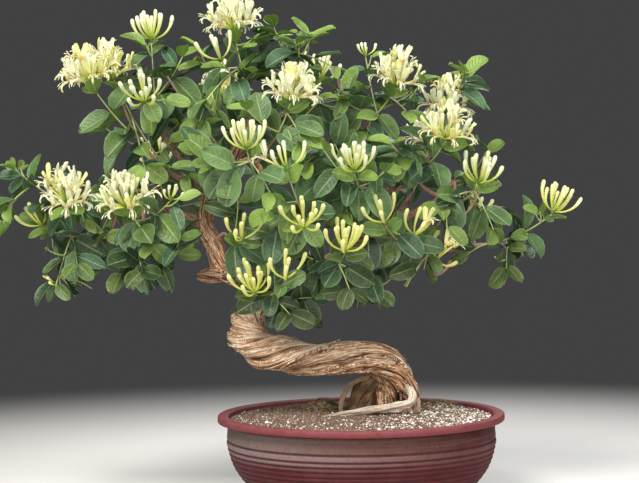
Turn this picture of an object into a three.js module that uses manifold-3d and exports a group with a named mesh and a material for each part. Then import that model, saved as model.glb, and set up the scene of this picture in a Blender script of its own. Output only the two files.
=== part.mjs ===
// A honeysuckle trained as a small tree, standing in a round, shallow pot of gritty soil.
//
// One twisted trunk leaves the soil right of the pot's middle, lies over to the left, turns
// back on itself and climbs into the crown. Limbs and twigs carry leafy shoots with opposite
// leaves, and most shoots end in a head of long, curved flowers.
//
// Millimetres, +Z up. The origin is the middle of the pot's flat underside, and -Y is the front.

import * as THREE from "three";
import { mergeVertices } from "three/addons/utils/BufferGeometryUtils.js";
import Module from "manifold-3d";

const wasm = await Module();
wasm.setup();

// ---------------------------------------------------------------- driving dimensions

const RIM_RADIUS = 180;
const POT_HEIGHT = 108;
const RIM_BAND = 12; // height of the lip that stands out of the wall
const RIM_WIDTH = 14; // width of the lip's flat top
const WALL_RADIUS = 168; // outside of the wall at its widest
const FLOOR_RADIUS = 112; // flat part of the underside
const FLOOR_THICKNESS = 12;
const POT_SIDES = 32;
const DRAIN_COUNT = 3;
const DRAIN_RADIUS = 7;
const DRAIN_CIRCLE = 62; // distance of each drain hole from the middle

const SOIL_EDGE = 102; // height of the soil where it meets the pot
const SOIL_CROWN = 112; // height of the soil in the middle
const CLEARANCE = 0.4; // air left between two pieces that touch
const END_GAP = 0.35; // air between a twig and the shoot or flower head that it carries

const TRUNK_SIDES = 12;
const TRUNK_RINGS = 36;
const ROOT_SIDES = 5;
const LIMB_SIDES = 4;
const STRAND_DEPTH = 0.15; // how far the twisted strands stand out, as a share of the radius
const STRAND_COUNT = 3;
const TWIST_TURNS = -4; // of the strands' pattern over the whole trunk, negative for a left hand twist

const TWIG_RADII = [2.8, 2.4, 2]; // from the limb to the shoot
const TWIG_SIDES = 3;
const TWIG_BEND = 0.4; // straight end of a twig, as a share of its length
const SHOOT_RADIUS = 1.7; // where a shoot leaves its twig
const SHOOT_TIP_RADIUS = 0.9;
const SIDE_SHOOT_RADIUS = 1.3;
const SHOOT_SAG = 0.16; // of a shoot's middle, as a share of its length
const HANGING_DROP = 10; // a shoot whose tip lies this much lower than its foot hangs
const HANGING_ARCH = 0.13; // rise of a hanging shoot's middle, as a share of its length
const FIRST_FORK = 0.3; // where the first side shoot leaves the main one, as a share of its length
const FORK_SPAN = 0.35; // and how much further on the last one does
const FORK_WALLS = 3; // faces of a joint that a side shoot may grow from, the best first

const LEAF_LENGTH = 52;
// Two sections of a leaf: place and half width as shares of its length, and depth of its midrib.
const LEAF_OUTLINE = [[0.34, 0.28, 2.2], [0.72, 0.25, 1.8]];
const YOUNG_LEAVES = [0.62, 0.86]; // size of the two pairs nearest a shoot's tip
const LEAF_SPACING = 26; // between one pair of leaves and the next
const BARE_FOOT = 16; // length of a shoot that bears no leaves, at its foot
const SIDE_BARE_FOOT = 9;
const HEAD_STALK = 11; // from a flower head down to the first pair of leaves
const TUFT_STALK = 3; // from a leafy tip down to its first pair
const JOINT_LENGTH = 2.4; // of the short piece of stem that a pair of leaves grows from
const JOINT_SECTION = [[0.75, -0.8], [0, 1.25], [-0.75, -0.8]]; // corners of a joint, in stem radii
const LEAF_GAP = 1.2; // least air between a leaf and its neighbours
const LEAF_ROOT = 6; // the leaf's base, which may lie close to its own stem
const ROOT_OVERLAP = 0.002; // cubic millimetres, rounding where a leaf meets its stem

// Leaves look up and away from the middle of the crown. It is long and shallow,
// so they look to the front and back more than to its ends.
const CROWN_CENTRE = [-90, 60, 340];
const SHADE = [0.35, 1.5, 0.6];
const SKYLIGHT = 0.35;

const FLOWER_LENGTH = 40;
const UPPER_FLOWERS = 0.88; // size of the flowers round a heart's top, beside those round its waist
const HEAD_UPTURN = 1.2; // how far a head turns up from its shoot
const BUD_SHARES = [0.4, 0.84, 1]; // slim part, club and tip of a bud, as shares of its line
const OPENED_SHARES = [0.5, 1]; // slim part and mouth of an opened flower
const BUD_LINE = { lift: 0.45, elbow: 0.55, rest: 0.45, out: 0.45, up: 1 };
const OPENED_LINE = { lift: 0.3, elbow: 0.55, rest: 0.15, out: 1, up: 0.35 };
const TUBE_RADIUS = 1.3;
const CLUB_RADIUS = 2.8;
const MOUTH_RADIUS = 2.2;
const LIP_HALF_WIDTH = 4; // of an opened flower's broad upper lip
const THROAT_RISE = 1; // of the middle of an opened flower's mouth
// Places on an opened flower, ahead of its mouth, above it and aside, as shares of its length.
const LIP_CURL = [0.1, 0.26, 0];
const LIP_TIP = [-0.06, 0.38, 0];
const LOWER_LIP_TIP = [0.06, -0.34, 0.04];
const STAMEN_TIP = [0.44, 0.02, -0.06];
const HEART_RADIUS = 3.6; // the green heart that a head's flowers grow from
const TINY_SINK = 1.5; // depth that a tiny head's heart is sunk into its stem
const FLOWER_GAP = 0.3; // least air between two flowers of a head
const OWN_REACH = 6; // length of a flower that may lie close to the next one in its head

const TOLERANCE = 0.2; // slivers thinner than this are taken out of a joined solid

// ---------------------------------------------------------------- the plant's plan

// The trunk from its foot in the soil to its top: x, y, z and radius.
const TRUNK = [
  [44, 6, 92, 25],
  [46, 4, 118, 25],
  [47, 0, 142, 23.5],
  [38, -4, 162, 21],
  [13, -8, 175, 19.5],
  [-51, -14, 178, 18.5],
  [-110, -16, 186, 20.5],
  [-143, -5, 204, 20],
  [-143, 22, 223, 17],
  [-120, 33, 238, 15.5],
  [-101, 24, 256, 14],
  [-116, 8, 272, 12.5],
  [-150, 0, 280, 11.5],
  [-171, 0, 293, 11.5],
  [-181, 5, 321, 11],
  [-194, 10, 348, 10],
  [-186, 12, 385, 8.5],
  [-160, 8, 425, 7],
  [-140, 4, 465, 5.5],
  [-130, 2, 500, 4],
];

// Roots that spread over the soil from the trunk's foot: x, y, z and radius.
const ROOTS = {
  front: [
    [54, -10, 141, 4.6],
    [60, -32, 139, 5.2],
    [63, -41, 130, 5.4],
    [56, -43, 122, 5.2],
    [32, -45, 118.5, 4.6],
    [-6, -49, 114.5, 3.8],
    [-50, -53, 108, 2.4],
  ],
  right: [
    [40, -2, 164, 9],
    [58, -5, 145, 10],
    [65, -8, 122, 9],
    [70, -10, 100, 7],
  ],
  left: [
    [26, 6, 160, 9],
    [13, 12, 147, 12],
    [2, 16, 126, 15],
    [-3, 17, 100, 16],
  ],
  arch: [
    [14, 8, 151, 3],
    [-4, 4, 148, 3],
    [-18, 0, 137, 3],
    [-25, -2, 120, 3],
    [-26, -3, 104, 3],
  ],
};

// The broken stub of an old branch on the trunk's elbow.
const STUB = [
  [-165, 2, 286, 10],
  [-188, 0, 283, 9],
  [-204, -2, 282, 4],
];

// Woody limbs: x, y, z and radius. Each starts inside the wood that carries it.
const LIMBS = {
  right: [
    [-101, 24, 256, 11],
    [-62, 40, 284, 9],
    [-12, 44, 314, 7],
    [45, 34, 345, 5.5],
    [95, 20, 372, 4],
    [122, 14, 398, 3],
  ],
  rightLow: [
    [-12, 44, 314, 6],
    [28, 12, 306, 4.5],
    [70, -10, 308, 3.8],
    [112, -14, 312, 3.2],
    [146, -8, 316, 2.6],
  ],
  rightTop: [
    [45, 34, 345, 5],
    [44, 30, 390, 4],
    [30, 18, 430, 3.4],
    [12, 8, 462, 2.6],
  ],
  left: [
    [-194, 10, 348, 7],
    [-235, 0, 362, 5],
    [-280, -8, 366, 4],
    [-322, -14, 362, 2.8],
  ],
  leftTop: [
    [-188, 12, 380, 6],
    [-220, 6, 425, 4.2],
    [-246, 2, 462, 2.8],
  ],
  frontTop: [
    [-170, 9, 410, 5.5],
    [-142, -32, 425, 4],
    [-122, -66, 418, 3],
    [-118, -80, 408, 2.6],
  ],
  frontLow: [
    [-62, 40, 284, 7],
    [-58, 4, 296, 5],
    [-56, -36, 306, 4],
    [-52, -62, 318, 2.8],
  ],
  top: [
    [-142, 4, 460, 5],
    [-106, 8, 478, 3.6],
    [-78, 10, 496, 2.6],
  ],
  back: [
    [-160, 8, 425, 6],
    [-150, 55, 438, 4.4],
    [-134, 102, 452, 2.8],
  ],
  backRight: [
    [45, 34, 345, 5.5],
    [58, 74, 362, 4],
    [70, 104, 378, 2.8],
  ],
  backLeft: [
    [-235, 0, 362, 5],
    [-246, 50, 380, 3.8],
    [-258, 86, 392, 2.8],
  ],
};

// Leafy sprays. Each grows from a twig on a limb, at the share `at` of the limb's length.
// The first tip ends the main shoot, and the others end its side shoots.
// A tip is a kind and x, y, z: "bud", "open", "few" and "tiny" are flower heads, "leaf" is a tuft.
const SPRAYS = [
  { limb: "leftTop", at: 1, base: [-252, 2, 480], tips: [
    ["bud", -258, 10, 577], ["bud", -260, -62, 495], ["leaf", -216, -8, 560], ["leaf", -204, 24, 520]] },
  { limb: "leftTop", at: 0.35, base: [-232, -16, 412], tips: [
    ["open", -304, -4, 529], ["open", -327, -42, 520], ["leaf", -312, -26, 468],
    ["leaf", -236, 34, 470], ["leaf", -262, -56, 418]] },
  { limb: "left", at: 1, base: [-338, -18, 368], tips: [
    ["leaf", -428, -20, 420], ["open", -356, -56, 373], ["leaf", -432, -44, 372]] },
  { limb: "left", at: 0.6, base: [-268, -42, 352], tips: [
    ["open", -279, -92, 366], ["tiny", -226, -108, 376], ["leaf", -250, -108, 322]] },
  { limb: "left", at: 0.85, base: [-318, -12, 336], tips: [
    ["few", -395, -10, 346], ["tiny", -376, -26, 276], ["leaf", -345, -62, 300]] },
  { limb: "left", at: 0.35, base: [-250, -22, 330], tips: [
    ["leaf", -296, -40, 286], ["leaf", -262, -92, 292], ["leaf", -222, -70, 312]] },
  { limb: "trunk", at: 1, base: [-133, 2, 507], tips: [
    ["open", -153, 0, 587], ["few", -166, -38, 547], ["leaf", -198, 8, 552], ["leaf", -186, -42, 500]] },
  { limb: "top", at: 1, base: [-66, 10, 508], tips: [
    ["leaf", -104, 12, 598], ["leaf", -72, 0, 570], ["leaf", -28, -12, 540]] },
  { limb: "frontTop", at: 0.6, base: [-104, -58, 448], tips: [
    ["open", -82, -80, 492], ["leaf", -50, -56, 494], ["leaf", -136, -88, 486], ["leaf", -66, -92, 440]] },
  { limb: "frontTop", at: 1, base: [-122, -90, 400], tips: [
    ["bud", -133, -122, 432], ["leaf", -176, -112, 416], ["leaf", -106, -128, 382],
    ["leaf", -196, -72, 436]] },
  { limb: "frontLow", at: 1, base: [-60, -82, 342], tips: [
    ["few", -86, -130, 408], ["bud", -67, -142, 341], ["leaf", -110, -126, 362],
    ["leaf", -108, -84, 330]] },
  { limb: "rightTop", at: 0.3, base: [2, -50, 388], tips: [
    ["bud", -6, -112, 405], ["leaf", 32, -92, 410], ["leaf", -44, -104, 436], ["leaf", -36, -30, 464]] },
  { limb: "rightTop", at: 1, base: [14, 2, 474], tips: [
    ["open", 47, -20, 513], ["tiny", 12, 10, 556], ["leaf", -20, -34, 500], ["leaf", 62, -28, 482]] },
  { limb: "right", at: 0.85, base: [78, 0, 408], tips: [
    ["open", 112, 6, 480], ["open", 106, -48, 445], ["leaf", 134, -6, 530], ["leaf", 50, -46, 424]] },
  { limb: "right", at: 1, base: [128, 0, 372], tips: [
    ["bud", 147, -40, 391], ["leaf", 164, -52, 336], ["leaf", 98, -62, 366], ["leaf", 150, 16, 346]] },
  { limb: "rightLow", at: 1, base: [156, -6, 318], tips: [
    ["bud", 243, 0, 354], ["leaf", 182, -30, 288], ["leaf", 204, 16, 345]] },
  { limb: "rightLow", at: 0.5, base: [54, -34, 322], tips: [
    ["few", 30, -88, 344], ["few", 64, -66, 328], ["few", 92, -48, 298]] },
  { limb: "frontLow", at: 0.7, base: [-34, -66, 298], tips: [
    ["bud", -20, -132, 311], ["leaf", 22, -78, 262], ["leaf", -14, -108, 266]] },
  { limb: "trunk", at: 0.5, base: [-104, -28, 272], tips: [
    ["bud", -126, -108, 263], ["leaf", -50, -104, 262], ["few", -90, -128, 279],
    ["leaf", -86, -120, 240]] },
  { limb: "trunk", at: 0.74, base: [-164, -34, 334], tips: [
    ["few", -142, -100, 326], ["leaf", -146, -88, 376], ["leaf", -116, -78, 304]] },
  { limb: "backLeft", at: 1, base: [-264, 98, 398], tips: [
    ["bud", -270, 146, 424], ["leaf", -328, 98, 398], ["leaf", -250, 146, 366]] },
  { limb: "back", at: 1, base: [-134, 114, 462], tips: [
    ["open", -176, 164, 516], ["bud", -118, 186, 430], ["leaf", -88, 146, 500], ["leaf", -196, 140, 432]] },
  { limb: "top", at: 0.6, base: [-76, 54, 500], tips: [
    ["bud", -50, 112, 532], ["leaf", 2, 104, 500], ["leaf", -98, 92, 548]] },
  { limb: "backRight", at: 1, base: [73, 107, 383], tips: [
    ["open", 100, 150, 448], ["leaf", 16, 160, 396], ["leaf", 134, 124, 392], ["leaf", 40, 150, 340]] },
  { limb: "right", at: 0.92, base: [132, 46, 398], tips: [
    ["bud", 150, 112, 356], ["leaf", 166, 34, 438], ["leaf", 172, 72, 352]] },
];

// ---------------------------------------------------------------- solids

const UP = new THREE.Vector3(0, 0, 1);
const BACK = new THREE.Vector3(0, 1, 0);
const RIGHT = new THREE.Vector3(1, 0, 0);
const vector = ([x, y, z]) => new THREE.Vector3(x, y, z);
const radians = THREE.MathUtils.degToRad;
const mix = THREE.MathUtils.lerp;

// Repeatable random numbers from 0 to 1.
function drawsFrom(seed) {
  let state = (seed * 7919 + 17) >>> 0;
  return () => {
    state = (Math.imul(state, 1664525) + 1013904223) >>> 0;
    return state / 4294967296;
  };
}

// A closed skin of triangles. Any of its faces can be drawn out into a branch or to a point.
class Skin {
  constructor(points = [], faces = []) {
    this.points = points;
    this.faces = faces;
  }

  // A flat skin of one triangle, from which a piece grows on its own.
  static seed(corners) {
    return new Skin([...corners], [[0, 1, 2], [0, 2, 1]]);
  }

  // Draws a face out to a ring of three new corners, and gives the six faces of the walls.
  // Of all the ways to join the two rings, the one that holds the most is free of crossings.
  extend(face, ring) {
    const near = this.faces[face];
    const far = ring.map((corner) => this.points.push(corner) - 1);
    const ways = [0, 1, 2].map((turn) => {
      const walls = [0, 1, 2].flatMap((k) => this.wall(near[k], near[(k + 1) % 3], far, k + turn));
      return { walls, cap: [0, 1, 2].map((k) => far[(k + turn) % 3]), held: this.held(walls) };
    });
    const best = ways.sort((p, q) => q.held - p.held)[0];
    this.faces[face] = best.cap;
    return best.walls.map((triangle) => this.faces.push(triangle) - 1);
  }

  // The two triangles of a wall from one edge to an edge of a ring, bent outwards on their diagonal.
  wall(a, b, far, turn) {
    const x = far[turn % 3];
    const y = far[(turn + 1) % 3];
    const folded = [[a, b, y], [a, y, x]];
    const crossed = [[a, b, x], [b, y, x]];
    return this.held(folded) > this.held(crossed) ? folded : crossed;
  }

  // The space between some triangles and the skin's newest point, in sixths.
  held(triangles) {
    const from = (i) => this.points[i].clone().sub(this.points.at(-1));
    return triangles.reduce((sum, [a, b, c]) => sum + from(a).dot(from(b).cross(from(c))), 0);
  }

  // Splits a face into three at a point, which may lie off it as a tip.
  split(face, point) {
    const [a, b, c] = this.faces[face];
    const tip = this.points.push(point) - 1;
    this.faces[face] = [a, b, tip];
    this.faces.push([b, c, tip], [c, a, tip]);
    return [face, this.faces.length - 2, this.faces.length - 1];
  }

  corners(face) {
    return this.faces[face].map((i) => this.points[i]);
  }

  solid() {
    return new wasm.Manifold(new wasm.Mesh({
      numProp: 3,
      vertProperties: new Float32Array(this.points.flatMap((p) => [p.x, p.y, p.z])),
      triVerts: new Uint32Array(this.faces.flat()),
    }));
  }
}

// A closed skin through rings of points. A ring of one point is a tip.
function loft(rings) {
  const sides = Math.max(...rings.map((ring) => ring.length));
  const starts = [];
  const skin = new Skin();
  for (const ring of rings) {
    starts.push(skin.points.length);
    skin.points.push(...ring);
  }
  const at = (ring, k) => starts[ring] + (rings[ring].length === 1 ? 0 : k % sides);
  for (let i = 0; i + 1 < rings.length; i++) {
    for (let k = 0; k < sides; k++) {
      const [a, b, c, d] = [at(i, k), at(i, k + 1), at(i + 1, k + 1), at(i + 1, k)];
      if (a !== b) skin.faces.push([a, b, c]);
      if (c !== d) skin.faces.push([a, c, d]);
    }
  }
  const last = rings.length - 1;
  for (let k = 1; k + 1 < sides; k++) {
    if (rings[0].length > 1) skin.faces.push([at(0, 0), at(0, k + 1), at(0, k)]);
    if (rings[last].length > 1) skin.faces.push([at(last, 0), at(last, k), at(last, k + 1)]);
  }
  return skin;
}

// A solid of a closed three.js geometry, such as a lathed profile.
function solidFromGeometry(geometry) {
  const bare = new THREE.BufferGeometry()
    .setAttribute("position", geometry.getAttribute("position"))
    .setIndex(geometry.getIndex());
  const merged = mergeVertices(bare, 1e-3);
  const at = merged.getAttribute("position");
  const index = merged.getIndex().array;
  const pointAt = (_, i) => new THREE.Vector3().fromBufferAttribute(at, i);
  const faces = [];
  for (let i = 0; i < index.length; i += 3) {
    const [a, b, c] = [index[i], index[i + 1], index[i + 2]];
    if (a !== b && b !== c && c !== a) faces.push([a, b, c]);
  }
  return new Skin(Array.from({ length: at.count }, pointAt), faces).solid();
}

const evenShares = (count) => Array.from({ length: count + 1 }, (_, i) => i / count);

// Cross frames at shares of a curve, which turn with it as little as they can.
function framesOn(curve, shares, firstNormal) {
  let normal = firstNormal;
  return shares.map((share) => {
    const tangent = curve.getTangent(share);
    if (!normal) normal = (Math.abs(tangent.z) < 0.9 ? UP : BACK).clone().cross(tangent);
    normal = normal.clone().addScaledVector(tangent, -normal.dot(tangent)).normalize();
    return { point: curve.getPoint(share), tangent, normal, binormal: tangent.clone().cross(normal) };
  });
}

function ringAt(frame, radius, sides, shape = () => 1) {
  return Array.from({ length: sides }, (_, k) => {
    const angle = (2 * Math.PI * k) / sides;
    const reach = radius * shape(angle);
    return frame.point.clone()
      .addScaledVector(frame.normal, reach * Math.cos(angle))
      .addScaledVector(frame.binormal, reach * Math.sin(angle));
  });
}

// A tube on a curve, whose radius and section may change along it.
function tube(curve, radii, sides, shapeAt = () => undefined) {
  const frames = framesOn(curve, evenShares(radii.length - 1));
  return loft(frames.map((frame, i) => ringAt(frame, radii[i], sides, shapeAt(i)))).solid();
}

// A smooth curve through rows of x, y, z and radius, with its radii at even shares.
function smoothLine(rows, count) {
  const curve = new THREE.CatmullRomCurve3(rows.map(vector), false, "catmullrom");
  const radii = evenShares(count).map((share) => {
    const along = share * (rows.length - 1);
    const row = Math.min(Math.floor(along), rows.length - 2);
    return mix(rows[row][3], rows[row + 1][3], along - row);
  });
  return { curve, radii };
}

const fused = (solids) => wasm.Manifold.union(solids);

// ---------------------------------------------------------------- pot and soil

// The pot's outside from the middle of its underside up to the lip, as radius and height.
const OUTSIDE = [
  [0, 0],
  [FLOOR_RADIUS, 0],
  [FLOOR_RADIUS + 14, 5],
  [145, 22],
  [160, 43],
  [WALL_RADIUS, 68],
  [WALL_RADIUS - 1, POT_HEIGHT - RIM_BAND - 2],
  [RIM_RADIUS - 2, POT_HEIGHT - RIM_BAND],
  [RIM_RADIUS, POT_HEIGHT - RIM_BAND + 3],
  [RIM_RADIUS - 1, POT_HEIGHT],
];

// The inside from the lip down to the middle of the floor.
const INSIDE = [
  [RIM_RADIUS - RIM_WIDTH, POT_HEIGHT],
  [RIM_RADIUS - RIM_WIDTH - 4, 72],
  [142, 34],
  [FLOOR_RADIUS, FLOOR_THICKNESS],
  [0, FLOOR_THICKNESS],
];

const lathed = (profile) => {
  const outline = profile.map(([r, z]) => new THREE.Vector2(r, z));
  return solidFromGeometry(new THREE.LatheGeometry(outline, POT_SIDES).rotateX(Math.PI / 2));
};

function potSolid() {
  const drains = Array.from({ length: DRAIN_COUNT }, (_, i) => {
    const angle = (2 * Math.PI * (i + 0.25)) / DRAIN_COUNT;
    return solidFromGeometry(new THREE.CylinderGeometry(DRAIN_RADIUS, DRAIN_RADIUS, 4 * FLOOR_THICKNESS, 10)
      .rotateX(Math.PI / 2)
      .translate(DRAIN_CIRCLE * Math.cos(angle), DRAIN_CIRCLE * Math.sin(angle), 0));
  });
  return lathed([...OUTSIDE, ...INSIDE]).subtract(fused(drains));
}

// The soil fills the pot to just under its lip, rises a little to the middle,
// and has plain holes and grooves where the foot of the trunk and its roots stand in it.
function soilSolid(wood) {
  const wall = INSIDE.slice(1).map(([r, z]) => [Math.max(r - CLEARANCE, 0), z + CLEARANCE]).reverse();
  const edge = RIM_RADIUS - RIM_WIDTH - 1 - CLEARANCE;
  const top = [1, 0.6, 0].map((share) =>
    [edge * share, SOIL_EDGE + (SOIL_CROWN - SOIL_EDGE) * (1 - share * share)]);
  return lathed([...wall, ...top]).subtract(wood);
}

// ---------------------------------------------------------------- trunk, limbs and twigs

const TRUNK_LINE = smoothLine(TRUNK, TRUNK_RINGS);
const LIMB_LINES = Object.fromEntries(
  Object.entries(LIMBS).map(([name, rows]) => [name, smoothLine(rows, rows.length)]));

// The trunk's section: strands that wind round it, as a share of its radius.
const strandsAt = (ring) => (angle) =>
  1 + STRAND_DEPTH * Math.cos(STRAND_COUNT * angle - 2 * Math.PI * TWIST_TURNS * (ring / TRUNK_RINGS));

// Trunk and roots, made `extra` thicker to cut their holes in the soil.
function stumpSolids(extra) {
  const grown = (radii) => radii.map((radius) => radius + extra);
  const roots = Object.values(ROOTS).map((rows) => {
    const { curve, radii } = smoothLine(rows, 2 * rows.length - 2);
    return tube(curve, grown(radii), ROOT_SIDES);
  });
  return [tube(TRUNK_LINE.curve, grown(TRUNK_LINE.radii), TRUNK_SIDES, strandsAt), ...roots];
}

// A spray's main shoot, its side shoots and the twig that carries it.
// A side shoot leaves the main one at the pair of leaves that is nearest to its share of the length.
function plannedSpray(plan, s) {
  const base = vector(plan.base);
  const shootTo = (start, [kind, ...tip], i) => {
    const shoot = { line: shootLine(start, vector(tip)), kind, side: i > 0 };
    return { ...shoot, pairs: leafPairs(shoot, drawsFrom(5000 + 100 * s + i)) };
  };
  const [mainTip, ...sideTips] = plan.tips;
  const main = shootTo(base, mainTip, 0);
  const sides = sideTips.map((tip, i) => {
    const wanted = FIRST_FORK + (FORK_SPAN * i) / Math.max(sideTips.length - 1, 1);
    const away = ({ share }) => Math.abs(share - wanted);
    const fork = [...main.pairs].sort((p, q) => away(p) - away(q))[0];
    return { ...shootTo(main.line.getPoint(fork.share), tip, i + 1), fork };
  });
  const carrier = plan.limb === "trunk" ? TRUNK_LINE.curve : LIMB_LINES[plan.limb].curve;
  const from = carrier.getPoint(plan.at);
  const heading = main.line.getTangent(0);
  const bend = base.clone().addScaledVector(heading, -TWIG_BEND * base.distanceTo(from));
  const end = base.clone().addScaledVector(heading, -END_GAP);
  return { shoots: [main, ...sides], tiny: [], twig: new THREE.QuadraticBezierCurve3(from, bend, end) };
}

// A shoot sags in its middle and turns up at its tip, or arches over where it hangs.
function shootLine(start, end) {
  const hanging = end.z < start.z - HANGING_DROP;
  const lift = (hanging ? HANGING_ARCH : -SHOOT_SAG) * start.distanceTo(end);
  const middle = start.clone().lerp(end, 0.5).addScaledVector(UP, lift);
  return new THREE.QuadraticBezierCurve3(start, middle, end);
}

// ---------------------------------------------------------------- shoots and leaves

const isHead = (kind) => kind !== "leaf" && kind !== "tiny";

// All the leaves that a shoot would bear, in opposite pairs, each pair a quarter turn from the last.
// The first pair is the one at the tip.
function leafPairs({ line, side, kind }, draw) {
  const length = line.getLength();
  const bare = side ? SIDE_BARE_FOOT : BARE_FOOT;
  const below = isHead(kind) ? HEAD_STALK : TUFT_STALK;
  const pairs = [];
  for (let i = 0; i === 0 || length - below - i * LEAF_SPACING > bare; i++) {
    const share = 1 - (below + i * LEAF_SPACING) / length;
    const base = line.getPoint(share);
    const stem = line.getTangent(share);
    const level = UP.clone().cross(stem).normalize();
    const quarter = 90 * i + 30 * (draw() - 0.5);
    const leaves = [0, 180].map((half) => ({
      base,
      stem,
      level,
      around: quarter + half,
      length: LEAF_LENGTH * (YOUNG_LEAVES[i] ?? 1) * (0.84 + 0.3 * draw()),
      droop: (i === 0 ? 0 : 0.35) + 0.35 * draw(),
      lean: (i === 0 ? 0.8 : 0.45) + 0.3 * draw(),
      bend: 0.04 + 0.14 * draw(),
    }));
    pairs.push({ share, leaves });
  }
  return pairs;
}

// The turns about the stem and the sizes that a leaf tries until it is clear of its neighbours.
const LEAF_TURNS = [0, 18, -18, 36, -36, 54, -54];
const LEAF_TRIES = [1, 0.84, 0.7, 0.58].flatMap((size) => LEAF_TURNS.map((turn) => ({ size, turn })));

// One leaf as it grows on one try: its blade faces the light, up and away from the crown's middle.
function grownLeaf(leaf, { size, turn }) {
  const outward = outwardOf({ ...leaf, around: leaf.around + turn });
  const forward = outward.addScaledVector(leaf.stem, leaf.lean).addScaledVector(UP, -leaf.droop)
    .normalize();
  const light = leaf.base.clone().sub(vector(CROWN_CENTRE)).multiply(vector(SHADE)).normalize()
    .addScaledVector(UP, SKYLIGHT);
  const face = light.addScaledVector(forward, -light.dot(forward)).normalize();
  return { ...leaf, forward, face, side: forward.clone().cross(face), length: leaf.length * size };
}

// A point of a leaf: along and across it as shares of its length, and below its face.
// The leaf bends down towards its tip.
const leafPoint = ({ base, length, forward, side, face, bend }, along, across, below) => base.clone()
  .addScaledVector(forward, along * length)
  .addScaledVector(side, across * length)
  .addScaledVector(face, -bend * along * along * length - below);

// A leaf's sections, right edge, midrib and left edge, and its tip.
const leafSections = (leaf) => LEAF_OUTLINE.map(([along, width, deep]) => [
  leafPoint(leaf, along, width, 0),
  leafPoint(leaf, along, 0, deep),
  leafPoint(leaf, along, -width, 0),
]);
const leafTip = (leaf) => leafPoint(leaf, 1, 0, LEAF_OUTLINE[1][2] / 2);

// Draws a small face of a stem out into a leaf.
function growLeaf(skin, face, leaf) {
  for (const section of leafSections(leaf)) skin.extend(face, section);
  skin.split(face, leafTip(leaf));
}

const outwardOf = ({ level, stem, around }) => level.clone().applyAxisAngle(stem, radians(around));

// A narrow three-cornered section, whose two long sides look the ways of a joint's two leaves.
function jointRing(point, { leaves: [leaf] }, radius) {
  const out = outwardOf(leaf);
  const across = leaf.stem.clone().cross(out);
  return JOINT_SECTION.map(([x, y]) =>
    point.clone().addScaledVector(out, x * radius).addScaledVector(across, y * radius));
}

// Draws a face out into a three-sided stem with a short joint at each pair of leaves.
// A joint keeps its six small faces, for leaves and side shoots to grow from.
function growStem(skin, face, { line, side, kind, pairs }) {
  const radiusAt = (share) => mix(side ? SIDE_SHOOT_RADIUS : SHOOT_RADIUS, SHOOT_TIP_RADIUS, share);
  const half = JOINT_LENGTH / 2 / line.getLength();
  for (const joint of [...pairs].reverse()) {
    const ringOf = (share) => jointRing(line.getPoint(share), joint, radiusAt(share));
    skin.extend(face, ringOf(joint.share - half));
    joint.walls = skin.extend(face, ringOf(joint.share + half));
  }
  if (isHead(kind)) skin.extend(face, ringAt(framesOn(line, [1])[0], SHOOT_TIP_RADIUS, 3));
  else skin.split(face, line.getPoint(1));
}

// The faces of a joint, the one that looks most nearly the given way first.
function wallsFacing(skin, joint, way) {
  const { stem } = joint.leaves[0];
  const wanted = way.clone().addScaledVector(stem, -way.dot(stem)).normalize();
  const facing = (wall) => {
    const [a, b, c] = skin.corners(wall);
    return b.clone().sub(a).cross(c.clone().sub(a)).normalize().dot(wanted);
  };
  return [...joint.walls].sort((p, q) => facing(q) - facing(p));
}

function takeWall(joint, wall) {
  joint.walls = joint.walls.filter((other) => other !== wall);
  return wall;
}

// ---------------------------------------------------------------- flower heads

// Which of the heart's ten places bear a flower, the share of them that has opened, and their size.
const HEADS = {
  bud: { places: [0, 1, 2, 3, 4, 5, 6, 7, 8, 9], opened: 0, size: 1 },
  open: { places: [0, 1, 2, 3, 4, 5, 6, 7, 8, 9], opened: 0.6, size: 0.95 },
  few: { places: [0, 2, 3, 6, 8], opened: 0.1, size: 0.9 },
  tiny: { places: [0, 1, 3, 6, 8], opened: 0, size: 0.45 },
};
const FLOWER_TRIES = [1, 0.8, 0.62].flatMap((size) => [0, 18, -18].map((turn) => ({ size, turn })));

// The heart: a bead of twenty faces that stands on the stem's tip on one corner.
// Its places for flowers are five faces round its waist, then the five round its top.
function heartOf(foot, axis, across, phase) {
  const centre = foot.clone().addScaledVector(axis, HEART_RADIUS);
  const ring = (height, angle) => {
    const turned = across.clone().applyAxisAngle(axis, radians(angle));
    const point = centre.clone().addScaledVector(axis, height * HEART_RADIUS / Math.sqrt(5));
    const radius = (2 * HEART_RADIUS) / Math.sqrt(5);
    return ringAt({ point, normal: turned, binormal: axis.clone().cross(turned) }, radius, 5);
  };
  const pole = (side) => [centre.clone().addScaledVector(axis, side * HEART_RADIUS)];
  const skin = loft([pole(-1), ring(-1, phase), ring(1, phase - 36), pole(1)]);
  return { skin, centre, places: [6, 8, 10, 12, 14, 15, 16, 17, 18, 19] };
}

// The line of one flower: out of its place and a little up, then curving up to the head's axis.
// An opened flower spreads instead, and its mouth is nearer.
function flowerLine(start, outward, axis, { length, opened }, { size, turn }) {
  const form = opened ? OPENED_LINE : BUD_LINE;
  const heading = outward.clone().applyAxisAngle(axis, radians(turn))
    .addScaledVector(axis, form.lift).normalize();
  const elbow = start.clone().addScaledVector(heading, form.elbow * size * length);
  const rise = heading.clone().multiplyScalar(form.out).addScaledVector(axis, form.up).normalize();
  const tip = elbow.clone().addScaledVector(rise, form.rest * size * length);
  return new THREE.QuadraticBezierCurve3(start, elbow, tip);
}

const threeAt = (frame, radius) => ringAt(frame, radius, 3);

// A closed bud is a slim tube that swells to a club.
function growBud(skin, face, line) {
  const [slim, club, tip] = framesOn(line, BUD_SHARES);
  skin.extend(face, threeAt(slim, TUBE_RADIUS));
  skin.extend(face, threeAt(club, CLUB_RADIUS));
  skin.split(face, tip.point);
}

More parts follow.
